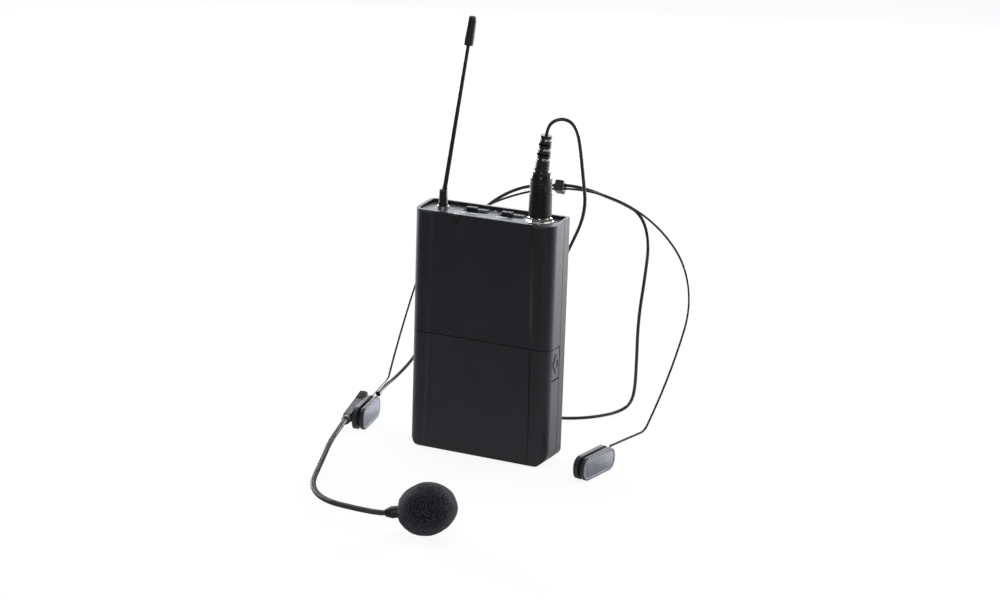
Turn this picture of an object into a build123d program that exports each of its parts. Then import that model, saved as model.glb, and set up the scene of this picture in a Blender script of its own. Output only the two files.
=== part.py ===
"""Wireless bodypack transmitter with its plugged-in headset microphone.

Millimetres. +Z up, +X right, +Y to the back (the belt clip's side). The origin is the
centre of the pack's foot, which stands on the floor.
"""
import os
from math import acos, asin, atan2, cos, degrees, pi, radians, sin, sqrt, tan

from build123d import *

os.makedirs("parts", exist_ok=True)

# ---------------------------------------------------------------- pack case
pack_w = 64.5           # width of the pack
pack_d = 18.5           # thickness of the pack
pack_h = 105.0          # height at the rear rim
wall = 1.5              # wall of every case half
front_edge_r = 5.0      # upright edges at the front
back_edge_r = 2.2       # upright edges at the back
foot_r = 6.5            # the two lower corners, seen from the front
sill_r = 1.6            # lower front and rear edges, seen from the side
parting_y = 2.5         # where the front and the back half meet
seam = 0.3              # visible joint between two case parts
seam_z = 51.0           # joint between front cover and battery door
front_lip = 1.3         # how far the front cover stays below the rear rim
rim_back = 6.8          # the side rims slope down from here to the front
lip_bevel = 0.9         # bevel of the front cover's top edge
clear = 0.35            # room between pieces that move past each other
fit = 0.1               # room round a piece that only drops in
run_fit = 0.05          # radial room of a turning or sliding fit

panel_top = pack_h - 1.6    # surface of the recessed top panel
panel_t = 1.6
ledge_w = 1.2           # ledge that the top panel sits on
ledge_t = 1.4

face_dip = 0.8          # depth of the sunken field on the front
face_w_top = 44.2       # its floor's width at the top
face_w_foot = 48.5      # its floor's width at the foot
face_flank_top = 2.0    # width of its sloping flank at the top
face_flank_foot = 0.5   # and at the foot

# ---------------------------------------------------------------- controls
antenna_x = -22.7
switch_x1 = -8.0        # power switch
switch_x2 = 8.3         # mute switch
switch_y = 2.0          # both stand a little behind the middle
slot_l = 10.6
slot_w = 3.0
knob_l = 4.6
knob_h = 1.5
knob_travel = 4.0
shutter_w = 5.2         # plate under the slot that the knob carries
shutter_t = 0.7
switch_body_h = 6.0
switch_body_w = 6.4
switch_body_l = 14.4
lens_x = -12.7
lens_w = 2.8
lens_t = 0.9
lens_reach = 2.6        # how far the lens runs back on the panel
lens_drop = 4.2         # how far it runs down the front
lens_proud = 0.25
lamp_w = 2.4

# ---------------------------------------------------------------- jack and plug
jack_x = 22.1
bush_r = 3.6            # threaded bush of the socket
bush_top = panel_top + 3.8
nut_r = 5.3
nut_h = 1.3
washer_r = 5.7
washer_h = 0.4
socket_w = 9.0
socket_h = 13.0
pin_r = 1.75
pin_l = 17.0
collar_r = 4.85
collar_z0 = panel_top + 2.0
collar_z1 = collar_z0 + 10.2
collar_ring = 0.5       # retaining ring on the plug's sleeve
barrel_r = 4.6
barrel_z1 = collar_z1 + 9.4
groove_z = collar_z1 + 4.4
taper_z = collar_z1 + 5.9
relief_r0 = 3.2
relief_r1 = 2.45
relief_h = 14.8
relief_lean = 6.0       # degrees that the flexible boot leans to the right
relief_slot = 0.9
relief_rows = 5

# ---------------------------------------------------------------- antenna
antenna_lean = 8.5
mast_shift = -0.68       # the whip's line meets the panel this far left of the foot
ferrule_r = 2.5
ferrule_h = 1.0
boot_r = 2.05
boot_top_r = 1.7
boot_h = 8.1            # upright sleeve at the foot of the antenna
neck_r = 1.15
neck_l = 8.9            # leaning neck above it, from the panel
whip_r = 1.0
whip_top_r = 0.8
whip_l = 70.4
cap_r = 2.05
cap_tip_r = 1.75
cap_l = 12.2
antenna_foot = 5.0      # threaded foot below the panel

# ---------------------------------------------------------------- battery bay
cell_d = 14.5
cell_l = 49.2
cell_nub_r = 2.7
cell_nub_h = 1.3
cell_pitch = 14.9
cell_z = 12.0           # axis of the lower cell
tray_half = pack_w / 2 - 3.15
tray_wall = 1.1
tray_lid = 1.2
contact_t = 0.4
contact_w = 9.0

# ---------------------------------------------------------------- door
hinge_y = 0.6
hinge_z = 1.75
knuckle_r = 1.3
pin_d = 1.2
ear_x = 22.0            # middle of each hinge ear
ear_w = 2.0
ear_r = 1.25
hinge_pin_l = 6.6
latch_z0 = seam_z - 14.0
latch_y0 = -4.7
latch_slot_front = 0.15
latch_slot_foot = 0.6
latch_slot_back = 0.5
latch_flange = 1.2      # how far the inner plate laps the window
latch_flange_t = 1.0
latch_lug = 2.1         # how far the lug reaches behind the back half's edge
arrow_proud = 0.25

# ---------------------------------------------------------------- electronics
board_w = 46.0
board_z0 = seam_z + 5.0
board_gap = 0.8         # from the board's top edge to the jack
board_h = panel_top - panel_t - socket_h - board_gap - board_z0
board_t = 1.6
board_y = 3.0           # front face of the board
post_r = 2.3
post_x = 20.0
post_inset = 4.0
screw_r = 1.0
screw_head_r = 1.8
screw_head_h = 1.1
case_post_x = 27.6
case_post_z = panel_top - 19.4
case_post_r = 2.5
bay_wall_z = seam_z + 2.0       # shelf between the battery bay and the board

# ---------------------------------------------------------------- belt clip
clip_w = 20.0
clip_t = 1.6
clip_z1 = pack_h - 13.0          # top of the clip
clip_z0 = 26.0          # tip of the clip
clip_axis_y = pack_d / 2 + 4.35
clip_axis_z = clip_z1 - 6.0
clip_pin_d = 2.0
clip_lug_w = 3.0
clip_lug_r = 2.4
clip_gap = 5.0          # room for the belt

# ---------------------------------------------------------------- headset
wire_r = 0.5            # spring wire of the band
band_origin = (-1.7, 32.48, 11.25)  # middle of the arch at the level of its bends
bend_v = 5.5            # how far above the bend the leg starts to curve
band_turn = -3.3        # the headset's heading, degrees about Z
band_lean = 56.65       # rise of the arch's plane, degrees
kink_u = {-1: 65.4, 1: 63.0}        # the wire's bend above each pad, from the arch's middle
wide_u = 67.3           # half the arch's greatest width
wide_v = 47.5           # how far up the arch is widest
side_r = 48.0           # arc from the widest place
crown_r = 76.8          # arc over the crown
stem = (5.2, 21.75, 1.55)           # from kink to pad: inwards, forwards, down

pad_l = 24.0
pad_h = 10.0
pad_corner = 4.2
pad_t = 2.0             # each plate of a pad
pad_gap = 1.4           # groove between the two plates
pad_z = 5.2             # middle of both pads
pad_pitch = 1.2         # rear end raised, degrees
pad_spine = 1.6         # height of the web between the plates
right_pad = (55.4, -4.0)            # middle of its outer face
right_pad_turn = -9.0               # heading of its long side
left_pad = (-58.35, 6.4)             # middle of its inner face
left_pad_turn = 11.0

holder_t = 3.2
holder_back = 11.2      # rear end of the holder, behind the pad's middle
holder_front = -13.6    # and its front end
holder_ends = {"back": (0.6, 6.1), "front": (-1.0, 2.9)}   # foot and top above the pad's middle
pivot_r = 1.1
ridge_n = 4
ridge_pitch = 1.7
ridge_r = 0.55
collar_boom_r = 1.9
collar_boom_l = 4.0

boom_r = 1.1
mic_boot_r0 = 1.5
mic_boot_r1 = 2.4
mic_boot_flare = 2.4
mic_boot_l = 9.5
mic_r = 3.4
mic_l = 9.0
grille_h = 0.8
foam_r = 10.6
foam_l = 24.0
foam_back = 16.2        # from the end of the boom to the middle of the foam

clip_u = -11.2          # where the cable clip sits on the band
cable_clip_l = 4.3
cable_clip_h = 5.1
cable_clip_d = 4.2
cable_rise = 1.8        # cable's place over the wire in the clip

# ---------------------------------------------------------------- cable
cord_d = 1.5
cord_length = 1200.0    # the whole cable, boot to headset
coil_centre = (-16.0, 42.0)
coil_r = 12.2
coil_band = 4.6         # radial width of the wound ring
coil_h = 6.1
coil_z0 = 0.45          # the tie under it holds it this far off the floor
tie_w = 3.0
tie_t = 0.4
gland_r = 1.2
gland_l = 2.6

lower_points = [
    (-13.0, 52.8, 1.3), (8.0, 54.0, 0.8), (19.0, 61.0, 0.8), (25.5, 70.0, 0.8),
    (28.5, 77.5, 0.8), (32.5, 80.5, 3.5), (36.0, 78.0, 11.0), (37.2, 75.5, 26.0),
    (37.2, 75.0, 46.0), (39.2, 76.0, 67.0), (38.6, 80.0, 81.5), (32.1, 84.9, 91.1),
    (22.7, 87.4, 94.1), (12.8, 89.2, 96.0), (3.9, 90.7, 97.5), (-4.9, 90.2, 98.5),
    (-13.4, 90.0, 97.5), (-25.1, 89.4, 96.0), (-33.6, 86.4, 92.6), (-41.0, 82.3, 87.2),
    (-49.8, 76.1, 77.2), (-55.3, 67.5, 64.5), (-58.2, 60.0, 50.0), (-55.8, 52.0, 31.0),
    (-57.4, 42.5, 21.2), (-60.3, 32.4, 15.0), (-61.5, 25.0, 12.9), (-61.2, 18.9, 11.4),
]
clip_run = 15           # the run of the route that passes through the clip


boot_tip = (jack_x + relief_h * sin(radians(relief_lean)), 0.0,
            barrel_z1 + relief_h * cos(radians(relief_lean)))
upper_steps = [         # from the boot's tip over the loop and down behind the pack
    (0.0, 0.0, 0.0), (0.3, 0.1, 2.6), (1.7, 0.5, 5.1), (4.0, 1.5, 6.6), (6.8, 2.7, 6.9),
    (9.3, 4.0, 5.5), (10.8, 5.6, 2.5), (11.5, 7.6, -2.3), (11.7, 12.0, -17.3),
    (11.5, 17.5, -34.3), (1.7, 22.0, -53.3),
]
upper_points = [tuple(a + b for a, b in zip(boot_tip, step)) for step in upper_steps] + [
    (16.0, 25.0, 68.0), (8.0, 29.0, 47.0), (2.0, 33.0, 27.0), (-1.5, 32.8, 11.0),
    (-5.0, 32.0, 6.5), (-10.5, 31.2, 4.7),
]


def corner_radii(points):
    """Arc radius of each inner point: 0.45 of the shorter run over tan of half the turn."""
    radii = []
    for before, here, after in zip(points, points[1:], points[2:]):
        run_in = Vector(*here) - Vector(*before)
        run_out = Vector(*after) - Vector(*here)
        turn = run_in.get_angle(run_out)
        radii.append(0.45 * min(run_in.length, run_out.length) / tan(radians(turn / 2)))
    return radii


def case_body(inset, top):
    """The pack's rounded block, shrunk by inset on every side and cut off at top."""
    with BuildPart() as body:
        with BuildSketch(Plane.XY.offset(inset)) as plan:
            Rectangle(pack_w - 2 * inset, pack_d - 2 * inset)
            fillet(plan.vertices().group_by(Axis.Y)[0], front_edge_r - inset)
            fillet(plan.vertices().group_by(Axis.Y)[-1], max(back_edge_r - inset, 0.1))
        extrude(amount=top - inset)
        with BuildSketch(Plane.XZ) as front:
            with Locations((0, (top + inset) / 2)):
                Rectangle(pack_w - 2 * inset, top - inset)
            fillet(front.vertices().group_by(Axis.Y)[0], foot_r - inset)
        extrude(amount=pack_d, both=True, mode=Mode.INTERSECT)
        with BuildSketch(Plane.YZ) as side:
            with Locations((0, (top + inset) / 2)):
                Rectangle(pack_d - 2 * inset, top - inset)
            fillet(side.vertices().group_by(Axis.Y)[0], max(sill_r - inset, 0.1))
        extrude(amount=pack_w, both=True, mode=Mode.INTERSECT)
    return body.part


def block(x0, x1, y0, y1, z0, z1):
    """A free-standing box between two corners."""
    return Pos((x0 + x1) / 2, (y0 + y1) / 2, (z0 + z1) / 2) * Box(x1 - x0, y1 - y0, z1 - z0)


def save(piece, name):
    piece.part.label = name
    export_step(piece.part, f"parts/{name}.step")


half_w = pack_w / 2
half_d = pack_d / 2
inner_w = half_w - wall
inner_d = half_d - wall
front_top = pack_h - front_lip

case_outer = case_body(0, pack_h)
case_inner = case_body(wall, pack_h + 1)
case_room = case_body(wall + 2 * clear, pack_h + 1)
behind_parting = block(-pack_w, pack_w, parting_y + seam / 2, pack_d, -1, pack_h + 2)
before_parting = block(-pack_w, pack_w, -pack_d, parting_y - seam / 2, -1, pack_h + 2)
bay_room = (case_room & block(-pack_w, pack_w, -pack_d, parting_y + 1, -1, pack_h)) + (
    case_inner & block(-pack_w, pack_w, parting_y + 1, pack_d, -1, pack_h))

with BuildPart() as field:
    with BuildSketch(Plane.XZ.offset(half_d + 0.01)):
        with BuildLine():
            Polyline((-face_w_top / 2 - face_flank_top, pack_h + 2),
                     (face_w_top / 2 + face_flank_top, pack_h + 2),
                     (face_w_foot / 2 + face_flank_foot, -1),
                     (-face_w_foot / 2 - face_flank_foot, -1), close=True)
        make_face()
    with BuildSketch(Plane.XZ.offset(half_d - face_dip)):
        with BuildLine():
            Polyline((-face_w_top / 2, pack_h + 2), (face_w_top / 2, pack_h + 2),
                     (face_w_foot / 2, -1), (-face_w_foot / 2, -1), close=True)
        make_face()
    loft()
face_field = field.part

# the rims of both halves slope down to the front
with BuildPart() as slope:
    with BuildSketch(Plane.YZ):
        with BuildLine():
            Polyline((rim_back, pack_h), (-half_d + lip_bevel, front_top),
                     (-half_d - 1, front_top), (-half_d - 1, pack_h + 1),
                     (rim_back, pack_h + 1), close=True)
        make_face()
    extrude(amount=pack_w, both=True)
rim_slope = slope.part

# ================================================================ back half
with BuildPart() as back_shell:
    add(case_outer)
    add(case_inner, mode=Mode.SUBTRACT)
    add(behind_parting, mode=Mode.INTERSECT)
    add(rim_slope, mode=Mode.SUBTRACT)
    # ledge under the top panel
    with BuildSketch(Plane.XY.offset(panel_top - panel_t - ledge_t)):
        with Locations((0, (inner_d + inner_d - ledge_w) / 2)):
            Rectangle(2 * (inner_w - back_edge_r), ledge_w)
    extrude(amount=ledge_t)
    # shelf over the battery bay
    with BuildSketch(Plane.XY.offset(bay_wall_z)):
        with Locations((0, (inner_d + parting_y + 0.5) / 2)):
            Rectangle(2 * inner_w, inner_d - parting_y - 0.5)
    extrude(amount=1.2)
    # posts for the board
    with BuildSketch(Plane.XZ.offset(-inner_d)):
        with Locations((-post_x, board_z0 + post_inset), (post_x, board_z0 + post_inset),
                       (-post_x, board_z0 + board_h - post_inset),
                       (post_x, board_z0 + board_h - post_inset)):
            Circle(post_r)
    extrude(amount=inner_d - board_y - board_t)
    # posts for the two case screws
    with BuildSketch(Plane.XZ.offset(-inner_d)):
        with Locations((-case_post_x, case_post_z), (case_post_x, case_post_z)):
            Circle(case_post_r)
    extrude(amount=inner_d - parting_y - seam / 2)
    # hinge ears reaching forward under the door's knuckle line
    for side in (-1, 1):
        with BuildSketch(Plane.YZ.offset(side * ear_x)):
            with Locations((hinge_y, hinge_z)):
                Circle(ear_r)
            with Locations(((hinge_y + parting_y + 2) / 2, hinge_z - ear_r / 2)):
                Rectangle(parting_y + 2 - hinge_y, ear_r)
        extrude(amount=ear_w / 2, both=True)
        with BuildSketch(Plane.YZ.offset(side * ear_x)):
            with Locations((hinge_y, hinge_z)):
                Circle(pin_d / 2)
        extrude(amount=ear_w, both=True, mode=Mode.SUBTRACT)
    # pilot holes
    with BuildSketch(Plane.XZ.offset(-(board_y + board_t))):
        with Locations((-post_x, board_z0 + post_inset), (post_x, board_z0 + post_inset),
                       (-post_x, board_z0 + board_h - post_inset),
                       (post_x, board_z0 + board_h - post_inset)):
            Circle(screw_r)
    extrude(amount=-2.6, mode=Mode.SUBTRACT)
    with BuildSketch(Plane.XZ.offset(-half_d)):
        with Locations((-case_post_x, case_post_z), (case_post_x, case_post_z)):
            Circle(screw_r)
    extrude(amount=pack_d / 2, mode=Mode.SUBTRACT)
    with BuildSketch(Plane.XZ.offset(-half_d)):
        with Locations((-case_post_x, case_post_z), (case_post_x, case_post_z)):
            Circle(screw_head_r + fit)
    extrude(amount=screw_head_h + fit, mode=Mode.SUBTRACT)
    # bracket of the belt clip
    for side in (-1, 1):
        with BuildSketch(Plane.YZ.offset(side * (clip_w / 2 + clear + clip_lug_w / 2))):
            with Locations((clip_axis_y, clip_axis_z)):
                Circle(clip_lug_r)
            with Locations(((half_d - 0.5 + clip_axis_y) / 2, clip_axis_z)):
                Rectangle(clip_axis_y - half_d + 0.5, 2 * clip_lug_r)
        extrude(amount=clip_lug_w / 2, both=True)
    with BuildSketch(Plane.YZ):
        with Locations((clip_axis_y, clip_axis_z)):
            Circle(clip_pin_d / 2)
    extrude(amount=pack_w / 2, both=True, mode=Mode.SUBTRACT)
save(back_shell, "back_shell")

# ================================================================ front cover
with BuildPart() as front_cover:
    add(case_outer)
    add(case_inner, mode=Mode.SUBTRACT)
    add(before_parting, mode=Mode.INTERSECT)
    add(face_field, mode=Mode.SUBTRACT)
    with BuildSketch(Plane.XY.offset(seam_z + seam / 2)):
        Rectangle(2 * pack_w, 2 * pack_d)
    extrude(amount=-pack_h, mode=Mode.SUBTRACT)
    add(rim_slope, mode=Mode.SUBTRACT)
    # bevel along the top front edge
    with BuildSketch(Plane.YZ):
        with BuildLine():
            Polyline((-half_d - 1, front_top + 1), (-half_d + lip_bevel, front_top),
                     (-half_d - 1, front_top - lip_bevel - 1), close=True)
        make_face()
    extrude(amount=pack_w, both=True, mode=Mode.SUBTRACT)
    # ledge under the top panel
    with BuildSketch(Plane.XY.offset(panel_top - panel_t - ledge_t)):
        with Locations((0, -inner_d + ledge_w / 2)):
            Rectangle(2 * (inner_w - front_edge_r), ledge_w)
    extrude(amount=ledge_t)
    # shelf over the battery bay
    with BuildSketch(Plane.XY.offset(bay_wall_z)):
        with Locations((0, (-inner_d + parting_y - 1.3) / 2)):
            Rectangle(2 * (inner_w - front_edge_r), inner_d + parting_y - 0.7)
    extrude(amount=1.2)
    # bosses that meet the case screws
    with BuildSketch(Plane.XZ.offset(seam / 2 - parting_y)):
        with Locations((-case_post_x, case_post_z), (case_post_x, case_post_z)):
            Circle(case_post_r)
    extrude(amount=parting_y - seam / 2 + inner_d)
    with BuildSketch(Plane.XZ.offset(-(parting_y))):
        with Locations((-case_post_x, case_post_z), (case_post_x, case_post_z)):
            Circle(screw_r)
    extrude(amount=4.5, mode=Mode.SUBTRACT)
    # window for the indicator lens
    with BuildSketch(Plane.XY.offset(front_top - lens_drop)):
        with Locations((lens_x, -half_d)):
            Rectangle(lens_w + 2 * fit, 2 * (wall + 2.6))
    extrude(amount=lens_drop + 2, mode=Mode.SUBTRACT)
save(front_cover, "front_cover")

# ================================================================ top panel
with BuildPart() as top_panel:
    with BuildSketch(Plane.XY.offset(panel_top - panel_t)) as lid:
        Rectangle(pack_w - 2 * (wall + fit), pack_d - 2 * (wall + fit))
        fillet(lid.vertices().group_by(Axis.Y)[0], front_edge_r - wall)
        fillet(lid.vertices().group_by(Axis.Y)[-1], back_edge_r - wall)
    extrude(amount=panel_t)
    with BuildSketch(Plane.XY.offset(panel_top - panel_t - 1)):
        with Locations((switch_x1, switch_y), (switch_x2, switch_y)):
            SlotOverall(slot_l, slot_w)
        with Locations((antenna_x, 0)):
            Circle(boot_r + fit)
        with Locations((jack_x, 0)):
            Circle(bush_r + fit)
        with Locations((lens_x, -inner_d + (lens_reach - wall) / 2)):
            Rectangle(lens_w + 2 * fit, lens_reach - wall + 2 * fit)
    extrude(amount=panel_t + 2, mode=Mode.SUBTRACT)
    # shallow printed-field steps around each slot
    with BuildSketch(Plane.XY.offset(panel_top)):
        with Locations((switch_x1, switch_y), (switch_x2, switch_y)):
            SlotOverall(slot_l + 1.4, slot_w + 1.4)
    extrude(amount=-0.25, mode=Mode.SUBTRACT)
save(top_panel, "top_panel")

# ================================================================ slide switches
for name, centre in (("power_switch", switch_x1), ("mute_switch", switch_x2)):
    rest = centre - knob_travel / 2
    with BuildPart() as knob:
        with BuildSketch(Plane.XY.offset(panel_top + 0.15)):
            with Locations((rest, switch_y)):
                RectangleRounded(knob_l, slot_w - 0.6, 0.4)
        extrude(amount=knob_h)
        with BuildSketch(Plane.XY.offset(panel_top - panel_t - clear)):
            with Locations((rest, switch_y)):
                Rectangle(knob_l - 0.8, slot_w - 0.7)
        extrude(amount=panel_t + clear + 0.2)
        with BuildSketch(Plane.XY.offset(panel_top - panel_t - clear - shutter_t)):
            with Locations((rest, switch_y)):
                Rectangle(knob_l + 2.2, shutter_w)
        extrude(amount=shutter_t)
        with BuildSketch(Plane.XY.offset(panel_top + 0.15 + knob_h)):
            with Locations((rest - 1.4, switch_y), (rest, switch_y), (rest + 1.4, switch_y)):
                Rectangle(0.5, slot_w)
        extrude(amount=-0.4, mode=Mode.SUBTRACT)
    save(knob, f"{name}_knob")
    body_top = panel_top - panel_t - 2 * clear - shutter_t
    with BuildPart() as switch_body:
        with BuildSketch(Plane.XY.offset(body_top)):
            with Locations((centre, switch_y)):
                Rectangle(switch_body_l, switch_body_w)
        extrude(amount=-switch_body_h)
        # tabs that hang the switch under the panel
        with BuildSketch(Plane.XY.offset(body_top)):
            with Locations((centre - switch_body_l / 2 + 0.5, switch_y),
                           (centre + switch_body_l / 2 - 0.5, switch_y)):
                Rectangle(1.0, switch_body_w)
        extrude(amount=2 * clear + shutter_t)
    save(switch_body, f"{name}_body")

# ================================================================ indicator
with BuildPart() as indicator_lens:
    with BuildSketch(Plane.YZ.offset(lens_x)):
        with BuildLine():
            Polyline((-half_d + face_dip - lens_proud, front_top - lens_drop + fit),
                     (-half_d + face_dip - lens_proud, front_top - 0.8),
                     (-half_d + face_dip + 0.7, panel_top + lens_proud),
                     (-inner_d + lens_reach - wall, panel_top + lens_proud),
                     (-inner_d + lens_reach - wall, panel_top - lens_t),
                     (-inner_d + 0.25, panel_top - lens_t),
                     (-inner_d + 0.25, front_top - lens_drop + fit), close=True)
        make_face()
    extrude(amount=lens_w / 2, both=True)
save(indicator_lens, "indicator_lens")

with BuildPart() as indicator_lamp:
    with BuildSketch(Plane.XY.offset(panel_top - panel_t - fit)):
        with Locations((lens_x, -inner_d + 1.6)):
            Rectangle(lamp_w, lamp_w)
    extrude(amount=-2.4)
    with BuildSketch(Plane.XY.offset(panel_top - panel_t - fit - 2.4)):
        with Locations((lens_x - 0.8, -inner_d + 1.6), (lens_x + 0.8, -inner_d + 1.6)):
            Rectangle(0.4, 0.4)
    extrude(amount=-3.0)
save(indicator_lamp, "indicator_lamp")

# ================================================================ jack
with BuildPart() as jack_socket:
    with BuildSketch(Plane.XY.offset(panel_top - panel_t)):
        with Locations((jack_x, 0)):
            Rectangle(socket_w, socket_w)
    extrude(amount=-socket_h)
    with BuildSketch(Plane.XY.offset(panel_top - panel_t)):
        with Locations((jack_x, 0)):
            Circle(bush_r)
    extrude(amount=bush_top - panel_top + panel_t)
    with BuildSketch(Plane.XY.offset(bush_top)):
        with Locations((jack_x, 0)):
            Circle(pin_r + run_fit)
    extrude(amount=-pin_l + 1, mode=Mode.SUBTRACT)
save(jack_socket, "jack_socket")

with BuildPart() as jack_nut:
    with BuildSketch(Plane.XY.offset(panel_top)):
        with Locations((jack_x, 0)):
            Circle(washer_r)
            Circle(bush_r, mode=Mode.SUBTRACT)
    extrude(amount=washer_h)
    with BuildSketch(Plane.XY.offset(panel_top + washer_h)):
        with Locations((jack_x, 0)):
            RegularPolygon(nut_r, 6, rotation=15)
            Circle(bush_r, mode=Mode.SUBTRACT)
    extrude(amount=nut_h)
save(jack_nut, "jack_nut")

# ================================================================ plug
with BuildPart() as plug_pin:
    with BuildSketch(Plane.XY.offset(bush_top + 0.3)):
        with Locations((jack_x, 0)):
            Circle(pin_r)
    extrude(amount=-pin_l + 2)
save(plug_pin, "plug_pin")

sleeve_r = bush_r
ring_z = collar_z0 + 6.6
with BuildPart() as plug_body:
    with BuildSketch(Plane.XZ):
        with BuildLine():
            Polyline((jack_x, bush_top + 0.3), (jack_x + sleeve_r, bush_top + 0.3),
                     (jack_x + sleeve_r, ring_z), (jack_x + sleeve_r + collar_ring, ring_z),
                     (jack_x + sleeve_r + collar_ring, ring_z + 1.0),
                     (jack_x + sleeve_r, ring_z + 1.0), (jack_x + sleeve_r, collar_z1 + 0.15),
                     (jack_x + barrel_r, collar_z1 + 0.15), (jack_x + barrel_r, groove_z),
                     (jack_x + barrel_r - 0.2, groove_z + 0.2),
                     (jack_x + barrel_r - 0.2, groove_z + 0.6),
                     (jack_x + barrel_r, groove_z + 0.8), (jack_x + barrel_r, taper_z))
            TangentArc((jack_x + barrel_r, taper_z), (jack_x + relief_r0 + 0.25, barrel_z1 - 0.7),
                       tangent=(0, 1))
            Polyline((jack_x + relief_r0 + 0.25, barrel_z1 - 0.7), (jack_x + relief_r0, barrel_z1),
                     (jack_x, barrel_z1), (jack_x, bush_top + 0.3))
        make_face()
    revolve(axis=Axis((jack_x, 0, 0), (0, 0, 1)))
    # grip flats pressed into the barrel
    with BuildSketch(Plane.XY.offset(collar_z1 + 1.0)):
        with PolarLocations(0, 1):
            with Locations((jack_x, 0)):
                with PolarLocations(barrel_r + 0.45, 6, start_angle=30):
                    Rectangle(1.2, 2.4)
    extrude(amount=2.6, mode=Mode.SUBTRACT)
save(plug_body, "plug_body")

with BuildPart() as plug_collar:
    with BuildSketch(Plane.XZ):
        with BuildLine():
            Polyline((jack_x + sleeve_r + run_fit, collar_z0),
                     (jack_x + collar_r - 0.4, collar_z0),
                     (jack_x + collar_r, collar_z0 + 0.5),
                     (jack_x + collar_r - 0.1, collar_z1 - 0.4),
                     (jack_x + collar_r - 0.4, collar_z1),
                     (jack_x + sleeve_r + run_fit, collar_z1),
                     (jack_x + sleeve_r + run_fit, ring_z + 1.0 + fit),
                     (jack_x + sleeve_r + collar_ring + run_fit, ring_z + 1.0 + fit),
                     (jack_x + sleeve_r + collar_ring + run_fit, ring_z - fit),
                     (jack_x + sleeve_r + run_fit, ring_z - fit), close=True)
        make_face()
    revolve(axis=Axis((jack_x, 0, 0), (0, 0, 1)))
save(plug_collar, "plug_collar")

# ================================================================ flexible boot of the plug
boot_plane = Plane(origin=(jack_x, 0, barrel_z1), x_dir=(cos(radians(relief_lean)), 0,
                   -sin(radians(relief_lean))),
                   z_dir=(sin(radians(relief_lean)), 0, cos(radians(relief_lean))))
row_pitch = (relief_h - 4.6) / relief_rows
with BuildPart() as strain_relief:
    with BuildSketch(Plane.XY.offset(barrel_z1)):
        with Locations((jack_x, 0)):
            Circle(relief_r0)
    extrude(amount=1.0)
    with BuildSketch(boot_plane.offset(0.4)):
        Circle(relief_r0 - 0.1)
    with BuildSketch(boot_plane.offset(relief_h)):
        Circle(relief_r1)
    loft()
    # ring grooves at the foot
    with BuildSketch(boot_plane.offset(1.5)):
        Circle(relief_r0 + 1)
        Circle(relief_r0 - 0.45, mode=Mode.SUBTRACT)
    extrude(amount=0.5, mode=Mode.SUBTRACT)
    with BuildSketch(boot_plane.offset(3.0)):
        Circle(relief_r0 + 1)
        Circle(relief_r0 - 0.5, mode=Mode.SUBTRACT)
    extrude(amount=0.45, mode=Mode.SUBTRACT)
    # alternating slots that let it bend
    for row in range(relief_rows):
        level = 4.4 + row * row_pitch
        with BuildSketch(boot_plane.offset(level)):
            if row % 2:
                with Locations((0, -relief_r0 - 0.2), (0, relief_r0 + 0.2)):
                    Rectangle(4 * relief_r0, 2 * relief_r0 - 1.2)
            else:
                with Locations((-relief_r0 - 0.2, 0), (relief_r0 + 0.2, 0)):
                    Rectangle(2 * relief_r0 - 1.2, 4 * relief_r0)
        extrude(amount=relief_slot, mode=Mode.SUBTRACT)
save(strain_relief, "strain_relief")

# ================================================================ antenna
mast = Plane(origin=(antenna_x + mast_shift, 0, panel_top),
             x_dir=(cos(radians(antenna_lean)), 0, -sin(radians(antenna_lean))),
             z_dir=(sin(radians(antenna_lean)), 0, cos(radians(antenna_lean))))
with BuildPart() as antenna_ferrule:
    with BuildSketch(Plane.XY.offset(panel_top)):
        with Locations((antenna_x, 0)):
            Circle(ferrule_r)
    extrude(amount=ferrule_h)
    with BuildSketch(Plane.XY.offset(panel_top)):
        with Locations((antenna_x, 0)):
            Circle(boot_r)
    extrude(amount=-panel_t - antenna_foot)
    with BuildSketch(Plane.XY.offset(panel_top - panel_t)):
        with Locations((antenna_x, 0)):
            RegularPolygon(3.2, 6)
    extrude(amount=-1.6)
save(antenna_ferrule, "antenna_ferrule")

with BuildPart() as antenna_boot:
    with BuildSketch(Plane.XY.offset(panel_top + ferrule_h)):
        with Locations((antenna_x, 0)):
            Circle(boot_r)
    with BuildSketch(Plane.XY.offset(panel_top + boot_h)):
        with Locations((antenna_x, 0)):
            Circle(boot_top_r)
    loft()
    chamfer(antenna_boot.edges().filter_by(GeomType.CIRCLE).sort_by(Axis.Z)[-1], 0.4)
    with BuildSketch(mast.offset(boot_h - 1)):
        Circle(neck_r)
    extrude(amount=neck_l - boot_h + 1)
save(antenna_boot, "antenna_boot")

with BuildPart() as antenna_whip:
    with BuildSketch(mast.offset(neck_l)):
        Circle(whip_r)
    with BuildSketch(mast.offset(whip_l)):
        Circle(whip_top_r)
    loft()
save(antenna_whip, "antenna_whip")

with BuildPart() as antenna_cap:
    with BuildSketch(mast.offset(whip_l)):
        Circle(cap_r)
    extrude(amount=3.0)
    with BuildSketch(mast.offset(whip_l + 3.0)):
        Circle(cap_r)
    with BuildSketch(mast.offset(whip_l + cap_l)):
        Circle(cap_tip_r)
    loft()
    fillet(antenna_cap.edges().filter_by(GeomType.CIRCLE).sort_by(Axis.Z)[-1], 1.5)
save(antenna_cap, "antenna_cap")

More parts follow.
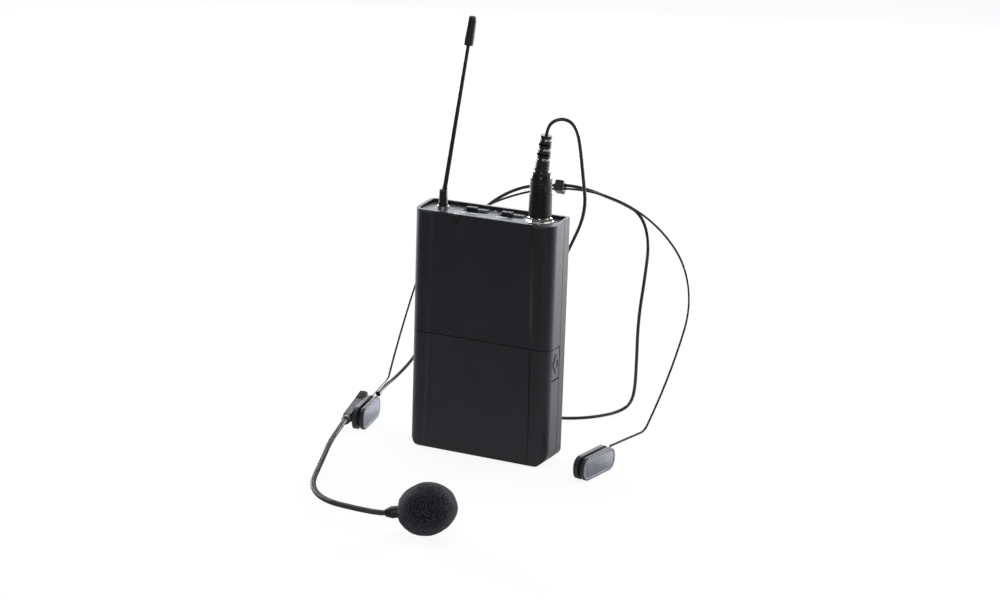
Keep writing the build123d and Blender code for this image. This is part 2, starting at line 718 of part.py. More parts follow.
# ================================================================ battery bay
upper_cell_z = cell_z + cell_pitch
tray_z0 = cell_z - cell_d / 2 - 0.4 - tray_wall
tray_z1 = upper_cell_z + cell_d / 2 + 0.4
with BuildPart() as battery_tray:
    with BuildSketch(Plane.XZ.offset(-inner_d)):
        with Locations((0, (tray_z0 + tray_z1 + tray_lid) / 2)):
            Rectangle(2 * tray_half, tray_z1 + tray_lid - tray_z0)
        with Locations((0, (tray_z0 + tray_wall + tray_z1) / 2)):
            Rectangle(2 * (tray_half - tray_wall), tray_z1 - tray_z0 - tray_wall,
                      mode=Mode.SUBTRACT)
    extrude(amount=2 * inner_d - 2)
    add(bay_room, mode=Mode.INTERSECT)
save(battery_tray, "battery_tray")

cell_x0 = -(cell_l + cell_nub_h) / 2
for name, level, way in (("battery_lower", cell_z, 1), ("battery_upper", upper_cell_z, -1)):
    with BuildPart() as cell:
        with BuildSketch(Plane.YZ.offset(way * cell_x0)):
            with Locations((0, level)):
                Circle(cell_d / 2)
        extrude(amount=way * cell_l)
        fillet(cell.edges().filter_by(GeomType.CIRCLE), 0.5)
        with BuildSketch(Plane.YZ.offset(way * (cell_x0 + cell_l))):
            with Locations((0, level)):
                Circle(cell_nub_r)
        extrude(amount=way * cell_nub_h)
    save(cell, name)

plate_x = tray_half - tray_wall
with BuildPart() as contact_plates:
    for level, way in ((cell_z, 1), (upper_cell_z, -1)):
        with BuildSketch(Plane.YZ.offset(way * plate_x)):
            with Locations((0, level)):
                Rectangle(contact_w, contact_w)
        extrude(amount=-way * contact_t)
        with BuildSketch(Plane.YZ.offset(way * (plate_x - contact_t))):
            with Locations((0, level)):
                Circle(cell_nub_r)
        extrude(amount=-way * (plate_x - contact_t + cell_x0 - 0.1))
save(contact_plates, "contact_plates")

with BuildPart() as contact_springs:
    for level, way in ((cell_z, -1), (upper_cell_z, 1)):
        with BuildSketch(Plane.YZ.offset(way * plate_x)):
            with Locations((0, level)):
                Rectangle(contact_w, contact_w)
        extrude(amount=-way * contact_t)
        # a conical spring stands as stacked rings
        for turn in range(3):
            with BuildSketch(Plane.YZ.offset(way * (plate_x - contact_t - 0.75 * turn))):
                with Locations((0, level)):
                    Circle(3.4 - 0.6 * turn)
                    Circle(2.5 - 0.6 * turn, mode=Mode.SUBTRACT)
            extrude(amount=-way * 0.8)
save(contact_springs, "contact_springs")

# ================================================================ battery door
with BuildPart() as battery_door:
    add(case_outer)
    add(case_inner, mode=Mode.SUBTRACT)
    add(before_parting, mode=Mode.INTERSECT)
    add(face_field, mode=Mode.SUBTRACT)
    with BuildSketch(Plane.XY.offset(seam_z - seam / 2)):
        Rectangle(2 * pack_w, 2 * pack_d)
    extrude(amount=pack_h, mode=Mode.SUBTRACT)
    # the floor ends at the hinge line
    with BuildSketch(Plane.XY.offset(hinge_z + 0.9)):
        with Locations((0, hinge_y + pack_d / 2)):
            Rectangle(2 * pack_w, pack_d)
    extrude(amount=-pack_d, mode=Mode.SUBTRACT)
    with BuildSketch(Plane.YZ):
        with Locations((hinge_y, hinge_z)):
            Circle(knuckle_r)
    extrude(amount=ear_x + ear_w / 2 + 2.4, both=True)
    for side in (-1, 1):
        # notches round the hinge ears
        with BuildSketch(Plane.YZ.offset(side * ear_x)):
            with Locations((hinge_y, hinge_z)):
                Rectangle(2 * (ear_r + 0.5), 2 * (ear_r + 0.9))
        extrude(amount=ear_w / 2 + clear, both=True, mode=Mode.SUBTRACT)
        # windows for the latch buttons
        with BuildSketch(Plane.YZ.offset(side * half_w)):
            with Locations(((latch_y0 + parting_y) / 2 + 1, (latch_z0 + seam_z) / 2 + 1)):
                Rectangle(parting_y - latch_y0 + 2, seam_z - latch_z0 + 2)
        extrude(amount=2 * wall, both=True, mode=Mode.SUBTRACT)
    # running holes for the hinge pins
    with BuildSketch(Plane.YZ):
        with Locations((hinge_y, hinge_z)):
            Circle(pin_d / 2 + run_fit)
    extrude(amount=pack_w / 2, both=True, mode=Mode.SUBTRACT)
    # guide ribs that carry the latch buttons
    for side in (-1, 1):
        for level in (latch_z0 - latch_flange - clear - 1.0,):
            with BuildSketch(Plane.XY.offset(level)):
                with Locations((side * (inner_w - 0.5), latch_y0 / 2)):
                    Rectangle(1.6, 6.0)
            extrude(amount=1.0)
save(battery_door, "battery_door")

with BuildPart() as door_hinge_pins:
    for side in (-1, 1):
        with BuildSketch(Plane.YZ.offset(side * ear_x)):
            with Locations((hinge_y, hinge_z)):
                Circle(pin_d / 2)
        extrude(amount=hinge_pin_l / 2, both=True)
save(door_hinge_pins, "door_hinge_pins")

# ================================================================ latch buttons
button_y0 = latch_y0 + latch_slot_front
button_y1 = parting_y - latch_slot_back
button_z0 = latch_z0 + latch_slot_foot
button_z1 = seam_z - seam / 2
for name, side in (("latch_left", -1), ("latch_right", 1)):
    arrow_face = Plane(origin=(side * half_w, (button_y0 + button_y1) / 2,
                               (button_z0 + button_z1) / 2),
                       x_dir=(0, -1, 0), z_dir=(side, 0, 0))
    with BuildPart() as latch:
        with BuildSketch(Plane.YZ.offset(side * (half_w - wall - clear))):
            with Locations(((button_y0 + button_y1) / 2, (button_z0 + button_z1) / 2)):
                Rectangle(button_y1 - button_y0, button_z1 - button_z0)
        extrude(amount=side * (wall + clear))
        # inner plate that keeps it from falling out
        with BuildSketch(Plane.YZ.offset(side * (half_w - wall - clear))):
            with Locations(((button_y0 - latch_flange + button_y1) / 2,
                            (button_z0 - latch_flange + button_z1) / 2)):
                Rectangle(button_y1 - button_y0 + latch_flange,
                          button_z1 - button_z0 + latch_flange)
        extrude(amount=-side * latch_flange_t)
        # lug that hooks behind the back half
        with BuildSketch(Plane.YZ.offset(side * (half_w - wall - clear))):
            with Locations((button_y1 + latch_lug / 2, (button_z0 + button_z1) / 2)):
                Rectangle(latch_lug, 4.0)
        extrude(amount=-side * latch_flange_t)
        # outlined arrow that points to the front
        with BuildSketch(arrow_face):
            with BuildLine():
                Polyline((side * 2.5, 0), (-side * 0.2, 4.3), (-side * 0.2, 2.2),
                         (-side * 2.3, 2.2), (-side * 2.3, -2.2), (-side * 0.2, -2.2),
                         (-side * 0.2, -4.3), close=True)
            make_face()
            with BuildLine():
                Polyline((side * 1.7, 0), (side * 0.3, 2.4), (side * 0.3, 1.6),
                         (-side * 1.7, 1.6), (-side * 1.7, -1.6), (side * 0.3, -1.6),
                         (side * 0.3, -2.4), close=True)
            make_face(mode=Mode.SUBTRACT)
        extrude(amount=arrow_proud)
    save(latch, name)

# ================================================================ electronics
board_mid_z = board_z0 + board_h / 2
post_spots = [(-post_x, board_z0 + post_inset), (post_x, board_z0 + post_inset),
              (-post_x, board_z0 + board_h - post_inset),
              (post_x, board_z0 + board_h - post_inset)]
with BuildPart() as main_board:
    with BuildSketch(Plane.XZ.offset(-board_y)):
        with Locations((0, board_mid_z)):
            RectangleRounded(board_w, board_h, 1.5)
        with Locations(*post_spots):
            Circle(screw_r + fit, mode=Mode.SUBTRACT)
    extrude(amount=-board_t)
save(main_board, "main_board")

with BuildPart() as shield_can:
    with BuildSketch(Plane.XZ.offset(-board_y)):
        with Locations((-6.0, board_mid_z + 3.0)):
            RectangleRounded(22.0, 17.0, 0.8)
    extrude(amount=3.2)
    with BuildSketch(Plane.XZ.offset(-board_y)):
        with Locations((-6.0, board_mid_z + 3.0)):
            Rectangle(21.0, 16.0)
    extrude(amount=2.8, mode=Mode.SUBTRACT)
save(shield_can, "shield_can")

with BuildPart() as board_chips:
    with BuildSketch(Plane.XZ.offset(-board_y)):
        with Locations((11.0, board_mid_z + 6.0)):
            Rectangle(9.0, 9.0)
        with Locations((11.0, board_mid_z - 5.0)):
            Rectangle(7.0, 5.0)
        with Locations((-12.0, board_mid_z - 10.5)):
            Rectangle(9.0, 4.0)
        with Locations((1.5, board_mid_z - 10.5)):
            Circle(2.2)
    extrude(amount=1.3)
save(board_chips, "board_chips")

with BuildPart() as board_screws:
    with BuildSketch(Plane.XZ.offset(-board_y)):
        with Locations(*post_spots):
            Circle(screw_head_r)
    extrude(amount=screw_head_h)
    with BuildSketch(Plane.XZ.offset(-board_y)):
        with Locations(*post_spots):
            Circle(screw_r)
    extrude(amount=-board_t - 2.5)
save(board_screws, "board_screws")

with BuildPart() as case_screws:
    with BuildSketch(Plane.XZ.offset(-half_d + fit / 2)):
        with Locations((-case_post_x, case_post_z), (case_post_x, case_post_z)):
            Circle(screw_head_r)
    extrude(amount=screw_head_h)
    with BuildSketch(Plane.XZ.offset(-half_d + fit / 2 + screw_head_h)):
        with Locations((-case_post_x, case_post_z), (case_post_x, case_post_z)):
            Circle(screw_r)
    extrude(amount=half_d - parting_y - screw_head_h + 3.5)
save(case_screws, "case_screws")

# ================================================================ belt clip
clip_y = clip_axis_y
with BuildPart() as belt_clip:
    with BuildSketch(Plane.YZ):
        with BuildLine():
            Polyline((clip_y - clip_t / 2, clip_z1), (clip_y + clip_t / 2, clip_z1),
                     (clip_y + 2.4, clip_axis_z), (half_d + clip_gap + clip_t, clip_z0 + 26),
                     (half_d + 1.9 + clip_t, clip_z0 + 6), (half_d + 3.8 + clip_t, clip_z0),
                     (half_d + 3.8, clip_z0), (half_d + 1.9 - 0.5, clip_z0 + 6),
                     (half_d + clip_gap, clip_z0 + 26), (clip_y - 1.9, clip_axis_z - 4),
                     (clip_y - 2.2, clip_axis_z), close=True)
        make_face()
    extrude(amount=clip_w / 2, both=True)
    with BuildSketch(Plane.YZ):
        with Locations((clip_axis_y, clip_axis_z)):
            Circle(clip_pin_d / 2 + run_fit)
    extrude(amount=pack_w, both=True, mode=Mode.SUBTRACT)
    # window for the spring
    with BuildSketch(Plane.XZ.offset(-pack_d)):
        with Locations((0, clip_axis_z)):
            Rectangle(9.0, 7.0)
    extrude(amount=pack_d / 2 + 2, mode=Mode.SUBTRACT)
save(belt_clip, "belt_clip")

with BuildPart() as clip_pin:
    with BuildSketch(Plane.YZ):
        with Locations((clip_axis_y, clip_axis_z)):
            Circle(clip_pin_d / 2)
    extrude(amount=clip_w / 2 + clear + clip_lug_w, both=True)
save(clip_pin, "clip_pin")

with BuildPart() as clip_spring:
    with BuildSketch(Plane.YZ):
        with Locations((clip_axis_y, clip_axis_z)):
            Circle(clip_pin_d / 2 + 0.85)
            Circle(clip_pin_d / 2 + 0.1, mode=Mode.SUBTRACT)
    extrude(amount=3.2, both=True)
    with BuildSketch(Plane.YZ.offset(-2.8)):
        with Locations(((half_d + clip_axis_y - clip_pin_d / 2) / 2, clip_axis_z + 1.4)):
            Rectangle(clip_axis_y - clip_pin_d / 2 - half_d, 0.7)
    extrude(amount=0.35, both=True)
save(clip_spring, "clip_spring")

# ================================================================ headset band
heading = radians(band_turn)
rise = radians(band_lean)
across = Vector(cos(heading), sin(heading), 0)
backwards = Vector(-sin(heading), cos(heading), 0)
arch_up = backwards * cos(rise) + Vector(0, 0, 1) * sin(rise)
arch = Plane(origin=band_origin, x_dir=across, z_dir=across.cross(arch_up))

crown_centre_v = wide_v - sqrt((crown_r - side_r) ** 2 - (wide_u - side_r) ** 2)
crown_v = crown_centre_v + crown_r
join_angle = asin((wide_u - side_r) / (crown_r - side_r))
join_u = crown_r * sin(join_angle)
join_v = crown_centre_v + crown_r * cos(join_angle)


def leg_spot(side, v):
    """Point at height v on the long arc from a bend up to the widest place, and its way down."""
    inset = wide_u - kink_u[side]
    leg_r = (inset ** 2 + wide_v ** 2) / (2 * inset)
    angle = asin((wide_v - v) / leg_r)
    return (Vector(side * (wide_u - leg_r + leg_r * cos(angle)), v),
            Vector(-side * sin(angle), -cos(angle)))


def leg_point(side, v):
    return tuple(leg_spot(side, v)[0])[:2]


side_mid = (pi / 2 - join_angle) / 2
mid_u = wide_u - side_r + side_r * cos(side_mid)
mid_v = wide_v + side_r * sin(side_mid)

kinks = {side: arch.from_local_coords(leg_spot(side, bend_v)[0] + leg_spot(side, bend_v)[1] * bend_v)
         for side in (-1, 1)}
stem_ends = {side: kinks[side] - across * (side * stem[0]) - backwards * stem[1]
             - Vector(0, 0, stem[2]) for side in (-1, 1)}

with BuildPart() as headband:
    with BuildLine(arch) as loop:
        ThreePointArc(leg_point(1, bend_v), leg_point(1, wide_v / 2), (wide_u, wide_v))
        ThreePointArc((wide_u, wide_v), (mid_u, mid_v), (join_u, join_v))
        ThreePointArc((join_u, join_v), (0, crown_v), (-join_u, join_v))
        ThreePointArc((-join_u, join_v), (-mid_u, mid_v), (-wide_u, wide_v))
        ThreePointArc((-wide_u, wide_v), leg_point(-1, wide_v / 2), leg_point(-1, bend_v))
    with BuildLine() as wire:
        add(loop.line)
        for side in (-1, 1):
            turned = [tuple(arch.from_local_coords((*leg_point(side, bend_v), 0))),
                      tuple(kinks[side]), tuple(stem_ends[side])]
            FilletPolyline(*turned, radius=corner_radii(turned))
    with BuildSketch(Plane(origin=stem_ends[1], z_dir=kinks[1] - stem_ends[1])):
        Circle(wire_r)
    sweep(path=wire.wires()[0])
save(headband, "headband")


def pad_plane(spot, turn, outward):
    """Plane of a pad's face: x runs to the back along the pad, z points along outward."""
    way = Vector(-sin(radians(turn)), cos(radians(turn)), 0)
    lift = Vector(0, 0, 1) * sin(radians(pad_pitch)) + way * cos(radians(pad_pitch))
    side = Vector(way.Y, -way.X, 0) * outward
    return Plane(origin=(spot[0], spot[1], pad_z), x_dir=lift, z_dir=side)


pad_total = 2 * pad_t + pad_gap
right_face = pad_plane(right_pad, right_pad_turn, 1)
left_face = pad_plane(left_pad, left_pad_turn, 1)

with BuildPart() as right_pad_shell:
    with BuildSketch(right_face):
        RectangleRounded(pad_l, pad_h, pad_corner)
    extrude(amount=-pad_t)
    fillet(right_pad_shell.edges().group_by(SortBy.LENGTH)[-1], 0.3)
    with BuildSketch(right_face.offset(-pad_t)):
        with Locations((0, -1.4)):
            RectangleRounded(pad_l - 4.4, 3.6, 1.2)
    extrude(amount=-pad_gap)
save(right_pad_shell, "right_pad_shell")

with BuildPart() as right_pad_cushion:
    with BuildSketch(right_face.offset(-pad_t - pad_gap)):
        RectangleRounded(pad_l, pad_h, pad_corner)
    extrude(amount=-pad_t)
save(right_pad_cushion, "right_pad_cushion")

with BuildPart() as left_pad_cushion:
    with BuildSketch(left_face):
        RectangleRounded(pad_l, pad_h, pad_corner)
    extrude(amount=-pad_t)
save(left_pad_cushion, "left_pad_cushion")

holder_face = left_face.offset(-pad_total)
pivot_spot = (4.5, 3.2)
with BuildPart() as left_pad_shell:
    with BuildSketch(left_face.offset(-pad_t)):
        with Locations((0, -1.4)):
            RectangleRounded(pad_l - 4.4, 3.6, 1.2)
    extrude(amount=-pad_gap)
    with BuildSketch(left_face.offset(-pad_t - pad_gap)):
        RectangleRounded(pad_l, pad_h, pad_corner)
    extrude(amount=-pad_t)
    # pivot of the boom holder
    with BuildSketch(holder_face):
        with Locations(pivot_spot):
            Circle(pivot_r)
    extrude(amount=-holder_t + 0.4)
save(left_pad_shell, "left_pad_shell")

cable_start = Vector(*lower_points[-1])
cable_way = (cable_start - Vector(*lower_points[-2])).normalized()
with BuildPart() as cable_gland:
    with BuildSketch(Plane(origin=cable_start, z_dir=cable_way)):
        Circle(gland_r - 0.3)
    with BuildSketch(Plane(origin=cable_start + cable_way * gland_l, z_dir=cable_way)):
        Circle(gland_r)
    loft()
    add(left_pad_shell.part, mode=Mode.SUBTRACT)
    add(left_pad_cushion.part, mode=Mode.SUBTRACT)
save(cable_gland, "cable_gland")

# ================================================================ boom
holder_plane = holder_face.offset(-clear)
slant = atan2(holder_ends["back"][1] - holder_ends["front"][1], holder_back - holder_front)
with BuildPart() as boom_holder:
    with BuildSketch(holder_plane):
        with BuildLine():
            FilletPolyline((holder_front, holder_ends["front"][0]),
                           (holder_back, holder_ends["back"][0]),
                           (holder_back, holder_ends["back"][1]),
                           (holder_front, holder_ends["front"][1]), radius=1.3, close=True)
        make_face()
    extrude(amount=-holder_t)
    with BuildSketch(holder_plane):
        with Locations(pivot_spot):
            Circle(pivot_r + run_fit)
    extrude(amount=-holder_t, mode=Mode.SUBTRACT)
    # thumb ridges along the rear third of the top
    for step in range(ridge_n):
        back = 1.8 + step * ridge_pitch
        with BuildSketch(holder_plane.offset(-0.3)):
            with Locations((holder_back - back, holder_ends["back"][1] - back * tan(slant))):
                Circle(ridge_r)
        extrude(amount=-holder_t + 0.6)
save(boom_holder, "boom_holder")

holder_mid = holder_plane.offset(-holder_t / 2)
boom_root = holder_mid.from_local_coords(
    (holder_front, (holder_ends["front"][0] + holder_ends["front"][1]) / 2 + 0.2, 0.3))
boom_second = Vector(-54.2, -36.5, 6.7)
boom_way = (boom_second - boom_root).normalized()
boom_start = boom_root + boom_way * (collar_boom_l - 0.8)
with BuildPart() as boom_collar:
    with BuildSketch(Plane(origin=boom_root + boom_way * 0.15, z_dir=boom_way)):
        Circle(collar_boom_r)
    extrude(amount=collar_boom_l - 0.95)
save(boom_collar, "boom_collar")

mic_way = Vector(12.2, 5.0, 2.0).normalized()
foam_centre = Vector(25.6, -101.6, 10.8)
boom_end = foam_centre - mic_way * foam_back
boom_points = [tuple(boom_start), tuple(boom_second), (-26.2, -105.3, 7.5),
               tuple(boom_end - mic_way * 3.5), tuple(boom_end)]
with BuildPart() as gooseneck:
    with BuildLine() as boom_line:
        FilletPolyline(*boom_points, radius=[90.0, 40.0, 12.0])
    with BuildSketch(Plane(origin=boom_line.line @ 0, z_dir=boom_line.line % 0)):
        Circle(boom_r)
    sweep()
save(gooseneck, "gooseneck")

mic_foot = Plane(origin=boom_end, z_dir=mic_way)
with BuildPart() as mic_boot:
    with BuildSketch(mic_foot):
        Circle(mic_boot_r0)
    with BuildSketch(mic_foot.offset(mic_boot_flare)):
        Circle(mic_boot_r1)
    loft()
    with BuildSketch(mic_foot.offset(mic_boot_flare)):
        Circle(mic_boot_r1)
    extrude(amount=mic_boot_l - mic_boot_flare)
save(mic_boot, "mic_boot")

with BuildPart() as mic_capsule:
    with BuildSketch(mic_foot.offset(mic_boot_l)):
        Circle(mic_r)
    extrude(amount=mic_l)
save(mic_capsule, "mic_capsule")

with BuildPart() as mic_grille:
    with BuildSketch(mic_foot.offset(mic_boot_l + mic_l)):
        Circle(mic_r)
    extrude(amount=grille_h)
save(mic_grille, "mic_grille")

foam_reach = mic_boot_l + mic_l + grille_h - foam_back + 0.4
foam_plane = Plane(origin=foam_centre, z_dir=mic_way)
with BuildPart() as windscreen:
    with BuildSketch(Plane(origin=foam_centre, x_dir=foam_plane.x_dir,
                           z_dir=-foam_plane.y_dir)):
        with BuildLine():
            mouth = degrees(acos((mic_r + fit) / foam_r))
            shell_line = EllipticalCenterArc((0, 0), foam_r, foam_l / 2,
                                             start_angle=-mouth, arc_size=mouth + 90)
            Polyline(shell_line @ 1, (0, foam_reach), (mic_r + fit, foam_reach),
                     shell_line @ 0)
        make_face()
    revolve(axis=Axis(foam_centre, mic_way))
save(windscreen, "windscreen")

# ================================================================ cable clip on the band
clip_v = crown_centre_v + sqrt(crown_r ** 2 - clip_u ** 2)
with BuildPart() as band_clip:
    with BuildSketch(arch.offset(-cable_clip_d / 2)):
        with Locations((clip_u, clip_v + cable_rise / 2)):
            RectangleRounded(cable_clip_l, cable_clip_h, 0.6)
    extrude(amount=cable_clip_d)
    slope = degrees(asin(clip_u / crown_r))
    wire_at = arch.from_local_coords((clip_u, clip_v, 0))
    wire_way = across * cos(radians(slope)) - arch_up * sin(radians(slope))
    with BuildSketch(Plane(origin=wire_at, z_dir=wire_way)):
        Circle(wire_r + 0.1)
    extrude(amount=cable_clip_l, both=True, mode=Mode.SUBTRACT)
    run = Vector(*lower_points[clip_run + 1]) - Vector(*lower_points[clip_run])
    with BuildSketch(Plane(origin=lower_points[clip_run], z_dir=run)):
        Circle(cord_d / 2 + 0.1)
    extrude(amount=run.length, mode=Mode.SUBTRACT)
save(band_clip, "band_clip")

# ================================================================ cable
tube_lengths = {}
for name, points in (("lead_upper", upper_points), ("lead_lower", lower_points)):
    radii = corner_radii(points)
    with BuildPart() as tube:
        with BuildLine() as route:
            FilletPolyline(*points, radius=radii)
        with BuildSketch(Plane(origin=route.line @ 0, z_dir=route.line % 0)):
            Circle(cord_d / 2)
        sweep()
    tube_lengths[name] = sum(edge.length for edge in route.edges())
    save(tube, name)
    print(name, "radii", [round(r, 1) for r in radii], "least", round(min(radii), 2),
          "in diameters", round(min(radii) / cord_d, 2))
    print(name, "length", round(tube_lengths[name], 1), "volume", round(tube.part.volume, 2),
          "section times length", round(pi * cord_d ** 2 / 4 * tube_lengths[name], 2))

with BuildPart() as lead_coil:
    with BuildSketch(Plane.XZ.offset(-coil_centre[1])) as winding:
        with Locations((coil_centre[0] + coil_r - coil_band / 2, coil_z0 + coil_h / 2)):
            RectangleRounded(coil_band, coil_h, 1.4)
    revolve(axis=Axis((coil_centre[0], coil_centre[1], 0), (0, 0, 1)))
save(lead_coil, "lead_coil")
coiled = cord_length - sum(tube_lengths.values())
print("cable outside the coil", round(sum(tube_lengths.values()), 1), "in the coil",
      round(coiled, 1))

with BuildPart() as coil_tie:
    tie_x = coil_centre[0] - coil_r + coil_band / 2
    with BuildSketch(Plane.XZ.offset(-coil_centre[1])):
        with Locations((tie_x, coil_z0 + coil_h / 2)):
            RectangleRounded(coil_band + 2 * tie_t, coil_h + 2 * tie_t, 1.9)
    extrude(amount=tie_w / 2, both=True)
    add(lead_coil.part, mode=Mode.SUBTRACT)
save(coil_tie, "coil_tie")

pivot_at = holder_mid.from_local_coords((pivot_spot[0], pivot_spot[1], 0))
print("boom pivot", [round(v, 3) for v in pivot_at], "axis", [round(v, 5) for v in left_face.z_dir])
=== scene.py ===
import math

import bmesh
import bpy
from mathutils import Matrix, Vector, noise


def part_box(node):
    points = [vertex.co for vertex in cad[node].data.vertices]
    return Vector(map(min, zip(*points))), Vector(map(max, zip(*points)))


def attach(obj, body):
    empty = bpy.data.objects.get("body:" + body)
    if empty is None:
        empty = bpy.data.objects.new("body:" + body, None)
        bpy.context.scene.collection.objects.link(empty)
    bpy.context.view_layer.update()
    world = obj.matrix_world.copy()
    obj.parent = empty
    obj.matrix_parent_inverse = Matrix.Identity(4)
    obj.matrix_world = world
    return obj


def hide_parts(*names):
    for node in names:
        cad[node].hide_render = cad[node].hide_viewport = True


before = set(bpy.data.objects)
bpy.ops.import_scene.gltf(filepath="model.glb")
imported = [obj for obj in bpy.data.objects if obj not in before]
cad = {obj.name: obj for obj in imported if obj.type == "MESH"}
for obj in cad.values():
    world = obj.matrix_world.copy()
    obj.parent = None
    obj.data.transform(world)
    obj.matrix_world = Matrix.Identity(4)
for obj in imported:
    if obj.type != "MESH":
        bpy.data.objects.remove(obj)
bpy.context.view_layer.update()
scene = bpy.context.scene
print("frame loaded:", len(cad), "CAD pieces")

view = {
    "azimuth": 25.9,        # degrees round from the front, to the right
    "elevation": 16.2,
    "roll": 1.76,
    "distance": 1.0,        # metres from the target
    "target": (0, 0, 0.05),
    "lens": 85.5,           # mm, as the sensor
    "sensor": 36,
    "shiftRight": 0.0122,
    "shiftUp": 0.0383,
    "nearest": 0.01,
}


def placeCamera(v):
    around, above, roll = (math.radians(v[k]) for k in ("azimuth", "elevation", "roll"))
    ahead = Vector((-math.sin(around) * math.cos(above), math.cos(around) * math.cos(above),
                    -math.sin(above)))
    level = Vector((math.cos(around), math.sin(around), 0))
    upright = level.cross(ahead)
    right = level * math.cos(roll) + upright * math.sin(roll)
    up = upright * math.cos(roll) - level * math.sin(roll)
    camera = bpy.data.objects.new("camera", bpy.data.cameras.new("camera"))
    scene.collection.objects.link(camera)
    turn = Matrix((right, up, -ahead)).transposed().to_4x4()
    camera.matrix_world = Matrix.Translation(Vector(v["target"]) - ahead * v["distance"]) @ turn
    camera.data.lens = v["lens"]
    camera.data.sensor_width = v["sensor"]
    camera.data.shift_x = v["shiftRight"]
    camera.data.shift_y = v["shiftUp"]
    camera.data.clip_start = v["nearest"]
    scene.camera = camera


placeCamera(view)
scene.view_settings.view_transform = "Standard"
print("camera placed")


def newMaterial(name, colour, roughness, specular=0.35, metallic=0.0):
    made = bpy.data.materials.new(name)
    made.use_nodes = True
    shader = shaderOf(made)
    shader.inputs["Base Color"].default_value = (*colour, 1)
    shader.inputs["Roughness"].default_value = roughness
    shader.inputs["Specular IOR Level"].default_value = specular
    shader.inputs["Metallic"].default_value = metallic
    return made


def shaderOf(made):
    return made.node_tree.nodes["Principled BSDF"]


def addNode(made, kind, **values):
    node = made.node_tree.nodes.new(kind)
    for key, value in values.items():
        if key in node.inputs:
            node.inputs[key].default_value = value
        else:
            setattr(node, key, value)
    return node


def join(made, source, outlet, target, inlet):
    made.node_tree.links.new(source.outputs[outlet], target.inputs[inlet])


def mathNode(made, operation, source, outlet, second=None):
    node = addNode(made, "ShaderNodeMath", operation=operation)
    join(made, source, outlet, node, 0)
    if second is not None:
        node.inputs[1].default_value = second
    return node


def objectPlace(made, scale=(1, 1, 1)):
    place = addNode(made, "ShaderNodeTexCoord")
    mapping = addNode(made, "ShaderNodeMapping", Scale=scale)
    join(made, place, "Object", mapping, "Vector")
    return mapping


def grain(made, place, size, depth):
    speckle = addNode(made, "ShaderNodeTexNoise", Scale=1 / size, Detail=2.0)
    join(made, place, "Vector", speckle, "Vector")
    bump = addNode(made, "ShaderNodeBump", Distance=depth, Strength=1.0)
    join(made, speckle, "Fac", bump, "Height")
    join(made, bump, "Normal", shaderOf(made), "Normal")
    return speckle


def colourRamp(made, source, outlet, stops, blend="LINEAR"):
    ramp = addNode(made, "ShaderNodeValToRGB")
    ramp.color_ramp.interpolation = blend
    while len(ramp.color_ramp.elements) < len(stops):
        ramp.color_ramp.elements.new(0.5)
    for element, (spot, colour) in zip(ramp.color_ramp.elements, stops):
        element.position = spot
        element.color = (*colour, 1)
    join(made, source, outlet, ramp, "Fac")
    join(made, ramp, "Color", shaderOf(made), "Base Color")


def mottle(made, place, size, stops):
    cloud = addNode(made, "ShaderNodeTexNoise", Scale=1 / size, Detail=3.0)
    join(made, place, "Vector", cloud, "Vector")
    colourRamp(made, cloud, "Fac", stops)


def roughRange(made, source, low, high):
    spread = addNode(made, "ShaderNodeMapRange")
    spread.inputs["To Min"].default_value = low
    spread.inputs["To Max"].default_value = high
    join(made, source, "Fac", spread, "Value")
    join(made, spread, "Result", shaderOf(made), "Roughness")


plastic = {     # what all moulded pieces share
    "patch": 0.012,             # metres across a patch of the second colour
    "patchEdge": (0.35, 0.65),
    "smoother": 0.06,           # the roughness varies from this much below its value
    "rougher": 0.08,            # to this much above it
}
plasticLooks = {    # the grain's size and depth are in metres
    "case black": {"colour": (0.011, 0.0115, 0.0135), "second": (0.013, 0.0135, 0.0165),
                   "roughness": 0.38},
    "door black": {"colour": (0.012, 0.0125, 0.0145), "second": (0.014, 0.0145, 0.0175),
                   "roughness": 0.41},
    "panel grey": {"colour": (0.028, 0.029, 0.033), "second": (0.05, 0.052, 0.059),
                   "roughness": 0.43, "size": 0.0005, "depth": 0.00005},
    "switch black": {"colour": (0.006, 0.006, 0.0065), "second": (0.009, 0.009, 0.01),
                     "roughness": 0.45},
    "pad black": {"colour": (0.016, 0.0165, 0.019), "second": (0.022, 0.0225, 0.026),
                  "roughness": 0.45},
    "pad grey": {"colour": (0.12, 0.122, 0.142), "second": (0.15, 0.152, 0.172),
                 "roughness": 0.62, "size": 0.0005, "depth": 0.00005},
    "plug black": {"colour": (0.005, 0.005, 0.006), "second": (0.008, 0.008, 0.009),
                   "roughness": 0.24, "size": 0.0006, "depth": 0.00001},
    "rubber black": {"colour": (0.008, 0.008, 0.009), "second": (0.012, 0.012, 0.0135),
                     "roughness": 0.36, "size": 0.0005, "depth": 0.00002},
    "cable black": {"colour": (0.012, 0.012, 0.0135), "second": (0.018, 0.018, 0.02),
                    "roughness": 0.36, "size": 0.0006, "depth": 0.00002},
    "gooseneck black": {"colour": (0.018, 0.018, 0.02), "second": (0.03, 0.03, 0.033),
                        "roughness": 0.38, "depth": 0.00002},
    "wire black": {"colour": (0.010, 0.010, 0.011), "second": (0.015, 0.015, 0.016),
                   "roughness": 0.3, "size": 0.0008, "depth": 0.00001},
    "chip black": {"colour": (0.012, 0.012, 0.013), "second": (0.017, 0.017, 0.018),
                   "roughness": 0.55},
    "tray black": {"colour": (0.016, 0.016, 0.018), "second": (0.02, 0.02, 0.023),
                   "roughness": 0.5},
    "board green": {"colour": (0.01, 0.075, 0.03), "second": (0.016, 0.11, 0.042),
                    "roughness": 0.3, "size": 0.0015},
}


